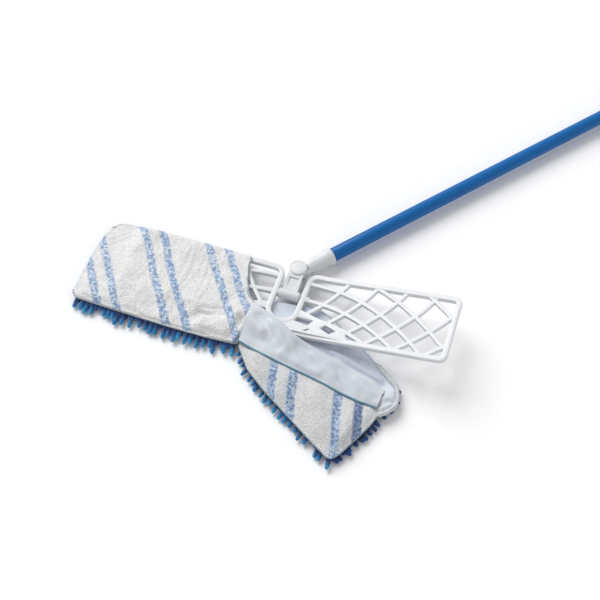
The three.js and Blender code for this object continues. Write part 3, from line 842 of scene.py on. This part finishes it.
pocket = {"across": 92, "along": 56, "seamZ": 10.8, "topZ": 21.2, "endTopZ": 16.5, "thickness": 1.9,
          "overWing": 18.4, "overBase": 13.4, "pinned": 3.0, "simFrames": 22, "slack": 0.03, "mostMove": 0.006}


def pocketHeight(x, y):
    # low along the seams, high over the wing, lower again towards the far end
    p = pocket
    toFront = (y + 42) / 30
    toRear = (90.5 - y) / 9
    toEnd = (x + 269) / 26
    lift = ramp(toFront, 0, 1) * ramp(toRear, -0.15, 1) * ramp(toEnd, 0, 1)
    top = p["topZ"] - (p["topZ"] - p["endTopZ"]) * (1 - ramp(x, -262, -205))
    return p["seamZ"] + (top - p["seamZ"]) * lift


def crease(x, y, start, stop, depth, width):
    # a soft valley (negative depth) or ridge along a line on the cloth
    here, a, b = Vector((x, y)), Vector(start), Vector(stop)
    t = (here - a).dot(b - a) / (b - a).length_squared
    nearest = a.lerp(b, min(max(t, 0), 1))
    return depth * math.exp(-((here - nearest).length / width) ** 2)


pocketFolds = [((-118, -40), (-92, -14), -4.6, 6.5), ((-92, -14), (-60, -5), -4.2, 6),
               ((-88, -32), (-58, -27), 4.6, 12), ((-50, -36), (-44, -10), -3.0, 5),
               ((-58, 2), (-46, -22), 2.4, 5), ((-72, 10), (-52, 26), -2.4, 6),
               ((-150, 60), (-120, 86), 1.8, 12), ((-190, -30), (-176, 4), 1.6, 11),
               ((-236, -20), (-214, 34), -1.8, 9), ((-226, 20), (-204, 84), 1.6, 12),
               ((-160, -38), (-142, -12), -1.6, 7), ((-110, 24), (-86, 60), -1.5, 9),
               ((-246, 52), (-226, 84), -1.6, 8), ((-66, -20), (-44, 4), 2.2, 7)]


def settleCloth(obj, pinned, colliders, frames, slack):
    group = obj.vertex_groups.new(name="pinned")
    group.add(pinned, 1.0, "REPLACE")
    for collider in colliders:
        addModifier(collider, "COLLISION")
        collider.collision.thickness_outer = 0.0012
        collider.collision.cloth_friction = 12
    cloth = addModifier(obj, "CLOTH")
    settings = cloth.settings
    settings.quality = 7
    settings.mass = 0.25
    settings.tension_stiffness = 25
    settings.compression_stiffness = 12
    settings.shear_stiffness = 10
    settings.bending_stiffness = 1.2
    settings.air_damping = 3
    settings.vertex_group_mass = "pinned"
    settings.shrink_min = -slack
    settings.effector_weights.gravity = 0.35
    cloth.collision_settings.distance_min = 0.0008
    cloth.collision_settings.collision_quality = 3
    cloth.point_cache.frame_start = 1
    cloth.point_cache.frame_end = frames
    scene = bpy.context.scene
    before = np.array([v.co for v in obj.data.vertices])
    for number in range(1, frames + 1):
        scene.frame_set(number)
    applyAll(obj)
    scene.frame_set(1)
    after = np.array([v.co for v in obj.data.vertices])
    move = after - before
    length = np.linalg.norm(move, axis=1)
    capped = before + move * np.minimum(1, pocket["mostMove"] / np.maximum(length, 1e-9))[:, None]
    for vertex, point in zip(obj.data.vertices, capped):
        vertex.co = point
    obj.data.update()
    for collider in colliders:
        bpy.data.objects.remove(collider)
    obj.vertex_groups.clear()


def makePocket():
    p = pocket

    def where(s, t):
        x, y = leftPatch(s, t)
        return x, y, pocketHeight(x, y)
    sheet = sheetGrid("stripedPocket", p["across"], p["along"], where)
    pins = []
    for vertex in sheet.data.vertices:
        x, y = vertex.co.x / mm, vertex.co.y / mm
        edge = min(y + 43, 91 - y, x + 270)
        if edge < p["pinned"]:
            pins.append(vertex.index)
    wing = plate("wing stand-in", [(-216, -7), (-28, -7), (-28, 87), (-216, 87)], 10.5, 18.3, 2.0)
    filler = plate("front stand-in", [(-250, -34), (-42, -34), (-42, -12), (-250, -12)], 10, 13.0, 1.0)
    ground = plate("base stand-in", [(-275, -50), (-20, -50), (-20, 95), (-275, 95)], 6, 10.4)
    settleCloth(sheet, pins, [wing, filler, ground], p["simFrames"], p["slack"])
    addModifier(sheet, "SUBSURF", levels=1, render_levels=1)
    applyAll(sheet)
    for vertex in sheet.data.vertices:  # listed folds, then the fuzz of the pile
        x, y, z = vertex.co / mm
        calm = ramp(y, -42, -32) * ramp(-y, -90, -80) * ramp(x, -268, -252)
        fold = sum(crease(x, y, *line) for line in pocketFolds)
        fold += 2.4 * ripple(x, y, 0.02, 2.0) + 1.5 * ripple(x, y, 0.05, 5.0) + 0.35 * ripple(x, y, 0.13, 1.0)
        underneath = p["overWing"] if y > -12 and x > -220 else p["overBase"]
        z = max(z + (fold + 2.0) * calm, min(z, underneath + p["thickness"]))
        vertex.co.z = (z + 0.16 * ripple(x, y, 0.42, 9.0) + 0.1 * ripple(x, y, 0.9, 3.0)) * mm
    setMaterials(sheet, terryLeft, liningPale)
    addModifier(sheet, "SOLIDIFY", thickness=p["thickness"] * mm, offset=-1, material_offset=1,
                material_offset_rim=0)
    applyAll(sheet)
    smooth(sheet, 80)
    coverPiece(sheet, "terry", "pocket_left")
    return sheet


stripedPocket = makePocket()
print("left pocket settled")

base = {"z": 9.0, "thickness": 1.6}
rightPatch = coons(rightFrontPath, rightRearPath, [(-35, -42), (-36, -10), (-38, 16)],
                   [(119, -151), (140, -116), (155, -80), (170, -62), (166, -36)])
liningFolds = [((78, -14), (146, -34), 2.4, 3.2), ((70, -19), (150, -42), -1.6, 3),
               ((84, -24), (152, -47), 2.6, 3.4), ((112, -16), (152, -28), -1.4, 3),
               ((100, -31), (148, -48), -1.2, 2.6)]


def thickenBase(sheet, offset):
    addModifier(sheet, "SOLIDIFY", thickness=base["thickness"] * mm, offset=offset, material_offset=1,
                material_offset_rim=1)
    smooth(applyAll(sheet), 60)


def makeBases():
    def whereLeft(s, t):
        x, y = leftPatch(s, t)
        return x, y, base["z"] - 0.3 + 0.3 * ripple(x, y, 0.05, 4.0)
    left = sheetGrid("leftBase", 60, 36, whereLeft)
    setMaterials(left, liningPale, backingBlue)
    thickenBase(left, 0)
    coverPiece(left, "lining", "base_left", "lining_left")

    def whereRight(s, t):
        x, y = rightPatch(s, t)
        z = base["z"] + 0.5 + 0.5 * ripple(x, y, 0.06, 4.0)
        # the lining stands in soft folds between the cuff and the rear edge
        # but lies flat where the plate comes down on it
        free = ramp(x, 46, 74) * ramp(-y, 9, 15)
        folds = sum(crease(x, y, *fold) for fold in liningFolds)
        z += (2.0 * folds + 1.6 * ripple(x, y, 0.05, 14.0) + 1.2) * free
        return x, y, min(max(z, 9.6), 9.9 + 8 * free)
    right = sheetGrid("rightBase", 84, 60, whereRight)
    setMaterials(right, liningDeep, backingBlue)
    thickenBase(right, -1)
    coverPiece(right, "lining", "base_right", "lining_right")
    return left, right


leftBase, rightBase = makeBases()
print("base cloth made")

cuff = {"across": 96, "flapSteps": 34, "curlSteps": 8, "cuffSteps": 26, "curl": 2.3, "thickness": 1.5, "puff": 5.5}


def clothFloor(x, y):
    # what the flap lies on: the base in front, the hub's front rail near the middle
    overRail = ramp(y, -34, -9) * (1 - ramp(x, 18, 46))
    return 11.6 + 7.6 * overRail


cuffFolds = [((-34, -8), (-12, -18), 2.6, 6), ((-20, 0), (2, -22), -2.6, 5), ((-6, -4), (22, -30), 2.4, 6),
             ((36, -22), (58, -44), -1.8, 6), ((60, -30), (90, -50), 1.8, 7),
             ((96, -40), (112, -62), -1.8, 6), ((118, -46), (140, -60), 1.8, 6),
             ((20, -40), (70, -52), 1.2, 5)]
flapFolds = [((16, -54), (24, -98), -1.3, 6), ((34, -62), (42, -104), 1.5, 9),
             ((52, -66), (60, -112), -1.2, 5), ((76, -70), (92, -128), 2.0, 12),
             ((106, -76), (118, -140), -1.4, 6), ((122, -80), (126, -128), 1.4, 6),
             ((136, -82), (136, -112), -1.6, 5), ((-10, -52), (0, -74), 1.4, 8)]


def makeFlap():
    c = cuff
    total = c["flapSteps"] + c["curlSteps"] + c["cuffSteps"]
    patch = coons(rightFrontPath, foldPath, [(-35, -42), (-37, -14), (-38, 15.5)],
                  rightEndPath + [(157, -66), (154, -49)])

    def where(s, t):
        fx, fy = at(rightFrontPath, s)
        lx, ly = at(foldPath, s)
        hx, hy = at(hemPath, s)
        step = t * total
        direction = Vector((lx - fx, ly - fy)).normalized()
        curl = c["curl"] * (1 + 0.25 * ripple(s * 9, 0, 1.0, 3.0)) * (0.55 + 0.45 * ramp(1 - s, 0.0, 0.12))
        foldLow = clothFloor(lx, ly) + 0.6
        span = math.hypot(lx - fx, ly - fy)
        hemShare = math.hypot(hx - fx, hy - fy) / span
        if step <= c["flapSteps"]:
            share = step / c["flapSteps"]
            x, y = patch(s, share)
            edge = ramp(share, 0, 0.1) * ramp(1 - s, 0, 0.06)
            # the pile swells between the seam and the hem that presses it down
            swell = c["puff"] * ramp(hemShare * span, 6, 45) * math.sin(math.pi * min(share / hemShare, 1)) ** 0.8
            low = 1.2 * ramp(share, 0, 0.3) * (1 - ramp(share, 0.72, 1))
            folds = sum(crease(x, y, *fold) for fold in flapFolds) * (1 - ramp(share, 0.8 * hemShare, hemShare))
            z = clothFloor(x, y) - 0.6 * (1 - edge) + 0.6 * ramp(share, 0.7, 1)
            z += edge * (swell * (1 + 0.35 * ripple(x, y, 0.04, 8.0)) + low + 1.3 * folds)
        elif step <= c["flapSteps"] + c["curlSteps"]:
            angle = math.pi * ((step - c["flapSteps"]) / c["curlSteps"] - 0.5)
            out = curl * math.cos(angle)
            x, y = lx + direction.x * out, ly + direction.y * out
            z = foldLow + curl + curl * math.sin(angle)
        else:
            share = (step - c["flapSteps"] - c["curlSteps"]) / c["cuffSteps"]
            x, y = lx + (hx - lx) * share, ly + (hy - ly) * share
            under = clothFloor(x, y) + 2.4
            roll = foldLow + 2 * curl
            z = under + 2.6 - 1.4 * ramp(share, 0.8, 1) + (roll - under - 2.6) * (1 - ramp(share, 0.0, 0.45))
            calm = ramp(share, 0, 0.2) * ramp(1 - share, 0, 0.15)
            z += (2.6 * ripple(x, y, 0.03, 11.0) + 1.7 * ripple(x, y, 0.075, 6.0)
                  + 2.0 * sum(crease(x, y, *fold) for fold in cuffFolds)) * calm
            z = max(z, under + 0.9)
        return x, y, z
    sheet = sheetGrid("foldedFlap", c["across"], total, where)
    for vertex in sheet.data.vertices:  # fuzz of the pile
        x, y, z = vertex.co / mm
        vertex.co.z += (0.25 * ripple(x, y, 0.45, 9.0) + 0.15 * ripple(x, y, 0.9, z)) * mm
    setMaterials(sheet, shadedTerryRight, liningPale)
    addModifier(sheet, "SOLIDIFY", thickness=c["thickness"] * mm, offset=0, material_offset=1)
    applyAll(sheet)
    smooth(sheet, 80)
    coverPiece(sheet, "terry", "flap_right", "cuff_right")
    return sheet


foldedFlap = makeFlap()
print("folded flap made")


def makeCorner():
    def where(s, t):
        x, y = coons([(148, -73), (158, -76), (166, -72)], [(148, -46), (157, -44), (165, -40)],
                     [(148, -73), (146, -60), (148, -46)], [(166, -72), (172, -60), (165, -40)])(s, t)
        dome = math.sin(math.pi * min(max(s, 0.02), 0.98)) * math.sin(math.pi * min(max(t, 0.02), 0.98))
        z = 11.4 + 4.6 * dome ** 0.6 + 1.3 * ripple(x, y, 0.16, 2.0) + 1.2 * math.sin((y - 0.5 * x) * 0.45) * dome
        return x, y, z
    corner = sheetGrid("foldedCorner", 26, 30, where)
    addModifier(corner, "SOLIDIFY", thickness=1.6 * mm, offset=-1)
    applyAll(corner)
    smooth(corner, 70)
    setMaterials(corner, liningPale)
    coverPiece(corner, "lining", "corner_tab_right")
    return corner


foldedCorner = makeCorner()


def stitchBase():
    deselectAll()
    bpy.ops.mesh.primitive_uv_sphere_add(segments=6, ring_count=5, radius=1)
    loop = named(bpy.context.object, "stitch")
    for vertex in loop.data.vertices:
        vertex.co = (vertex.co.x * 0.36 * mm, vertex.co.y * 1.55 * mm, vertex.co.z * 0.36 * mm)
    return loop


stitch = stitchBase()


def facing(direction):
    y = Vector(direction).normalized()
    x = y.cross(Vector((0, 0, 1))).normalized()
    z = x.cross(y)
    return Matrix((x, y, z)).transposed().to_4x4()


def beadAndStitches(name, path, radius, material, threadMaterial, slotName, cad=(), pitch=1.7):
    # a rolled edge with overlock stitches wound round it; path is in mm
    path = [Vector(p) for p in path]
    bead = swept(name + "Bead", [tuple(p) for p in path], radius * 1.7, radius * 2, radius * 0.84)
    total = sum((b - a).length for a, b in zip(path, path[1:]))
    matrices = []
    count = int(total / pitch)
    for i in range(count):
        share = (i + 0.5) / count
        here, ahead = along(path, share), along(path, min(share + 0.004, 1))
        direction = ahead - here if (ahead - here).length > 1e-6 else path[-1] - path[-2]
        for turn in (-68, 0, 68):
            spin = Matrix.Rotation(math.radians(turn), 4, direction.normalized())
            tilt = Matrix.Rotation(math.radians(62 + 14 * random.uniform(-1, 1)), 4, "Z")
            lift = Matrix.Translation((0, 0, radius * 0.92 * mm))
            matrices.append(Matrix.Translation(here * mm) @ spin @ facing(direction) @ lift @ tilt)
    threads = copies(name + "Threads", stitch, matrices)
    smooth(bead, 60)
    setMaterials(bead, material)
    setMaterials(threads, threadMaterial)
    coverPiece(bead, slotName, *cad)
    coverPiece(threads, slotName)
    return bead, threads


def surfaceLine(path, count, height):
    return [Vector((p.x, p.y, height(p.x, p.y))) for p in eased([Vector((x, y, 0)) for x, y in path], count)]


seam = {"mouthRadius": 1.5, "mouthSink": 0.8, "cuffRadius": 1.15, "cuffRise": 3.9, "leftRadius": 1.0,
        "leftZ": 9.5, "rightRadius": 1.3, "rightZ": 10.0, "edgePitch": 2.4, "rimRadius": 0.85, "rimZ": 8.4,
        "rimPitch": 2.2, "rollRadius": 3.2, "rollZ": 8.6, "rollRise": 3.0, "rollPitch": 3.4, "rollLumps": 0.8}


def rollHeight(y):  # the rolled edge lies low under the plate and stands up in front of it
    return seam["rollZ"] + seam["rollRise"] * ramp(-y, 8, 20)


mouthLine = surfaceLine([(x + 1.2, y) for x, y in mouthPath], 60,
                        lambda x, y: pocketHeight(x, y) - seam["mouthSink"])
mouthHem = beadAndStitches("mouthHem", mouthLine, seam["mouthRadius"], threadPale, threadPale, "hem_thread",
                           ("mouth_hem_left",))
cuffLine = surfaceLine([(x - 0.3, y - 1.0) for x, y in hemPath], 70,
                       lambda x, y: clothFloor(x, y) + seam["cuffRise"])
cuffHem = beadAndStitches("cuffHem", cuffLine, seam["cuffRadius"], threadTeal, threadTeal, "hem_thread",
                          ("cuff_hem_right",))
leftEdgePath = leftRearPath[::-1][1:] + leftEndPath[::-1][1:] + leftFrontPath[1:]
leftEdge = beadAndStitches("leftSeam", surfaceLine(leftEdgePath, 150, lambda x, y: seam["leftZ"]),
                           seam["leftRadius"], terryPlain, threadPale, "hem_thread", ("binding_left",),
                           pitch=seam["edgePitch"])
rightEdge = beadAndStitches("rightSeam", surfaceLine(rightFrontPath + rightEndPath[1:], 110,
                                                     lambda x, y: seam["rightZ"]),
                            seam["rightRadius"], terryPlain, threadTeal, "hem_thread", ("binding_right",),
                            pitch=seam["edgePitch"])
rimEnd = next(i for i, (x, y) in enumerate(rightRearPath) if x > 60 and y < -4)
rearEdge = beadAndStitches("rearRim", surfaceLine(rightRearPath[:rimEnd + 1], 90, lambda x, y: seam["rimZ"]),
                           seam["rimRadius"], threadTeal, threadTeal, "hem_thread", pitch=seam["rimPitch"])
rollLine = surfaceLine(rightRearPath[rimEnd:] + rightTipPath[::-1][1:], 70, lambda x, y: rollHeight(y))
tipEdge = beadAndStitches("rearRoll", rollLine, seam["rollRadius"], terryPlain, threadPale, "terry",
                          pitch=seam["rollPitch"])
for vertex in tipEdge[0].data.vertices:  # the rolled pile is lumpy, and slim where it starts
    x, y, z = vertex.co / mm
    thin = 0.45 + 0.55 * ramp(-y, 8, 22)
    vertex.co.z = (seam["rollZ"] + (rollHeight(y) - seam["rollZ"]) * thin + (z - rollHeight(y)) * thin
                   + seam["rollLumps"] * thin * ripple(x, y, 0.22, 21.0)) * mm
bpy.data.objects.remove(stitch)
print("hems stitched")

noodle = {"radius": 3.0, "pitch": 8.4, "edgePitch": 6.8, "rootZ": 8.8, "longest": 11, "clear": 4, "jitter": 1.6}


def noodleBase(name, segments, rings, lumps):
    deselectAll()
    bpy.ops.mesh.primitive_uv_sphere_add(segments=segments, ring_count=rings, radius=1)
    shape = named(bpy.context.object, name)
    for vertex in shape.data.vertices:  # the root is at z = 0, the tip at -2
        x, y, z = vertex.co
        flat = math.copysign(abs(z) ** 0.8, z)
        fat = (1 - abs(z) ** 3.4) ** 0.5 if abs(z) < 1 else 0
        spread = math.hypot(x, y) or 1
        angle = math.atan2(y, x)
        bulge = 1 + lumps * math.sin(angle * 3 + z * 9) * (1 if abs(z) < 0.95 else 0)
        vertex.co = (x / spread * fat * bulge, y / spread * fat * bulge, flat - 1)
    return shape


def noodleMatrix(root, direction, length, radius):
    turn = Vector((0, 0, -1)).rotation_difference(Vector(direction).normalized()).to_matrix().to_4x4()
    spin = Matrix.Rotation(random.uniform(0, math.tau), 4, "Z")
    size = Matrix.Diagonal((radius * mm, radius * mm, length / 2 * mm, 1))
    return Matrix.Translation(Vector(root) * mm) @ turn @ spin @ size


def inside(point, outline):
    x, y = point
    found = False
    for (x0, y0), (x1, y1) in zip(outline, outline[1:] + outline[:1]):
        if (y0 > y) != (y1 > y) and x < (x1 - x0) * (y - y0) / (y1 - y0) + x0:
            found = not found
    return found


def edgeDistance(point, outline):
    here = Vector(point)
    best = 1e9
    for a, b in zip(outline, outline[1:] + outline[:1]):
        a, b = Vector(a), Vector(b)
        t = min(max((here - a).dot(b - a) / max((b - a).length_squared, 1e-9), 0), 1)
        best = min(best, (here - a.lerp(b, t)).length)
    return best


def underside(outline):
    # noodles standing under the cloth, each one leaning its own way
    xs, ys = zip(*outline)
    jitter = noodle["jitter"]
    matrices = []
    y = min(ys)
    row = 0
    while y < max(ys):
        x = min(xs) + (row % 2) * noodle["pitch"] / 2
        while x < max(xs):
            spot = (x + random.uniform(-jitter, jitter), y + random.uniform(-jitter, jitter))
            if inside(spot, outline) and edgeDistance(spot, outline) > noodle["clear"]:
                lean = Vector((random.uniform(-0.55, 0.55), random.uniform(-0.8, 0.3), -1)).normalized()
                length = min((8.6 - noodle["radius"]) / -lean.z + noodle["radius"] * 0.8, noodle["longest"])
                matrices.append(noodleMatrix((*spot, noodle["rootZ"]), lean, length, noodle["radius"] * 0.95))
            x += noodle["pitch"]
        y += noodle["pitch"] * 0.87
        row += 1
    return matrices


def edgeRow(path, pitch, reach, inset, spread, lowest=3.0, lean=(0, 0), thick=1.0, gaps=0.08):
    # noodles that come out from under a cloth edge; the outside is to the right of the path
    points = [Vector((x, y, 0)) for x, y in path]
    total = sum((b - a).length for a, b in zip(points, points[1:]))
    count = int(total / pitch)
    matrices = []
    for i in range(count):
        if random.random() < gaps:
            continue
        share = (i + 0.5 + random.uniform(-0.3, 0.3)) / count
        here, ahead = along(points, share), along(points, min(share + 0.01, 1))
        back = along(points, max(share - 0.01, 0))
        tangent = (ahead - back).normalized()
        out = Vector((tangent.y, -tangent.x, 0))
        length = reach * random.uniform(0.78, 1.18)
        root = here - out * inset
        rootZ = random.uniform(5.6, 7.6)
        tipZ = lowest + random.uniform(0, 2.2)
        direction = out * length + tangent * random.uniform(-spread, spread) * length + Vector((*lean, 0)) * length
        direction.z = tipZ - rootZ
        matrices.append(noodleMatrix((root.x, root.y, rootZ), direction, direction.length,
                                     noodle["radius"] * thick * random.uniform(0.88, 1.06)))
    return matrices


coarse = noodleBase("coarse noodle", 6, 6, 0.0)
fine = noodleBase("fine noodle", 8, 9, 0.08)
leftOutline = leftFrontPath + [(-34, 17), (-50, 31), (-57, 51)] + leftRearPath[::-1] + leftEndPath[::-1][1:-1]
rightOutline = rightFrontPath + rightEndPath[1:] + rightTipPath[1:] + rightRearPath[::-1][1:]
for name, outline, cad in (("leftPile", leftOutline, "pile_left"), ("rightPile", rightOutline, "pile_right")):
    pile = copies(name, coarse, underside(outline))
    setMaterials(pile, chenilleBlue)
    coverPiece(pile, "chenille", cad)

# rows along the edges: path, pitch, reach, inset and spread of each
close = noodle["edgePitch"]
fringes = {
    "leftFringe": (chenilleBlue, [dict(path=leftFrontPath[1:], pitch=close * 1.1, reach=19, inset=3.5, spread=0.14,
                                       lean=(0.1, 0), thick=1.02)]),
    "shadeFringe": (chenilleShaded, [dict(path=path, pitch=close, reach=reach, inset=4, spread=0.35, lowest=3.4)
                                   for path, reach in ((leftFrontPath[1:], 9.5), (rightFrontPath, 6),
                                                       (rightEndPath, 7))]),
    "backFringe": (chenilleBlue, [dict(path=path[::-1], pitch=8.5, reach=6, inset=3.5, spread=0.3)
                                  for path in (leftRearPath, leftEndPath)]),
    "rightFringe": (chenilleBlue, [dict(path=rightFrontPath, pitch=9.0, reach=12.5, inset=3.2, spread=0.14,
                                        lean=(0.25, -0.15), thick=0.92, gaps=0.02)]),
    # the end rows use the painted-shade chenille for the shadow at the far end
    "endFringe": (chenilleShaded, [
        dict(path=rightEndPath, pitch=close * 1.1, reach=12, inset=3.0, spread=0.3),
        dict(path=rightTipPath, pitch=close * 1.6, reach=8, inset=3.5, spread=0.35),
        dict(path=rightRearPath[rimEnd - 2:][::-1], pitch=close * 2.2, reach=7, inset=3.5, spread=0.3)])}
for name, (material, rows) in fringes.items():
    fringe = copies(name, fine, [matrix for row in rows for matrix in edgeRow(**row)])
    setMaterials(fringe, material)
    coverPiece(fringe, "chenille")
for spare in (coarse, fine):
    bpy.data.objects.remove(spare)
print("chenille made")

studio = {"cameraPlace": (0.2313, -0.5930, 1.0126), "look": (-0.1789, 0.5298, -0.8290), "lens": 56.4,
          "skyLight": 0.46, "skySeen": 0.97, "keyFrom": (-1.0, 0.75, 1.25), "keyStrength": 2.35, "keySpread": 42,
          "fillFrom": (0.9, -0.7, 1.2), "fillStrength": 0.25, "fillSpread": 90}


def makeStudio():
    deselectAll()
    bpy.ops.mesh.primitive_plane_add(size=60, location=(0.2, 0.4, -0.0004))
    floor = named(bpy.context.object, "floor")
    place(floor)
    material, tree, shader, where = startMaterial("pale floor")
    speck = node(tree, "ShaderNodeTexNoise", {"Vector": where, "Scale": 60.0, "Detail": 4.0})
    tree.links.new(blendColours(tree, mapRange(tree, speck.outputs["Fac"], 0.3, 0.7, 0.0, 1.0),
                                (0.975, 0.975, 0.98, 1), (0.96, 0.96, 0.965, 1)), shader.inputs["Base Color"])
    shader.inputs["Roughness"].default_value = 0.85
    setMaterials(floor, material)

    def softSun(name, spot, strength, spread):
        data = bpy.data.lights.new(name, "SUN")
        data.energy = strength
        data.angle = math.radians(spread)
        lamp = bpy.data.objects.new(name, data)
        bpy.context.scene.collection.objects.link(lamp)
        lamp.location = spot
        lamp.rotation_euler = (-Vector(spot)).to_track_quat("-Z", "Y").to_euler()

    for name in ("key", "fill"):
        softSun(name, studio[name + "From"], studio[name + "Strength"], studio[name + "Spread"])
    world = bpy.data.worlds.new("studio")
    bpy.context.scene.world = world
    world.use_nodes = True
    backdrop = world.node_tree.nodes["Background"]
    backdrop.inputs["Color"].default_value = (1, 1, 1, 1)
    seen = node(world.node_tree, "ShaderNodeLightPath").outputs["Is Camera Ray"]
    strength = mapRange(world.node_tree, seen, 0.0, 1.0, studio["skyLight"], studio["skySeen"], "LINEAR")
    world.node_tree.links.new(strength, backdrop.inputs["Strength"])
    bpy.context.scene.view_settings.view_transform = "Standard"

    data = bpy.data.cameras.new("camera")
    data.lens = studio["lens"]
    data.sensor_width = 36
    data.clip_start = 0.01
    camera = bpy.data.objects.new("camera", data)
    bpy.context.scene.collection.objects.link(camera)
    camera.location = studio["cameraPlace"]
    camera.rotation_euler = Vector(studio["look"]).to_track_quat("-Z", "Y").to_euler()
    bpy.context.scene.camera = camera


makeStudio()
print("studio ready")
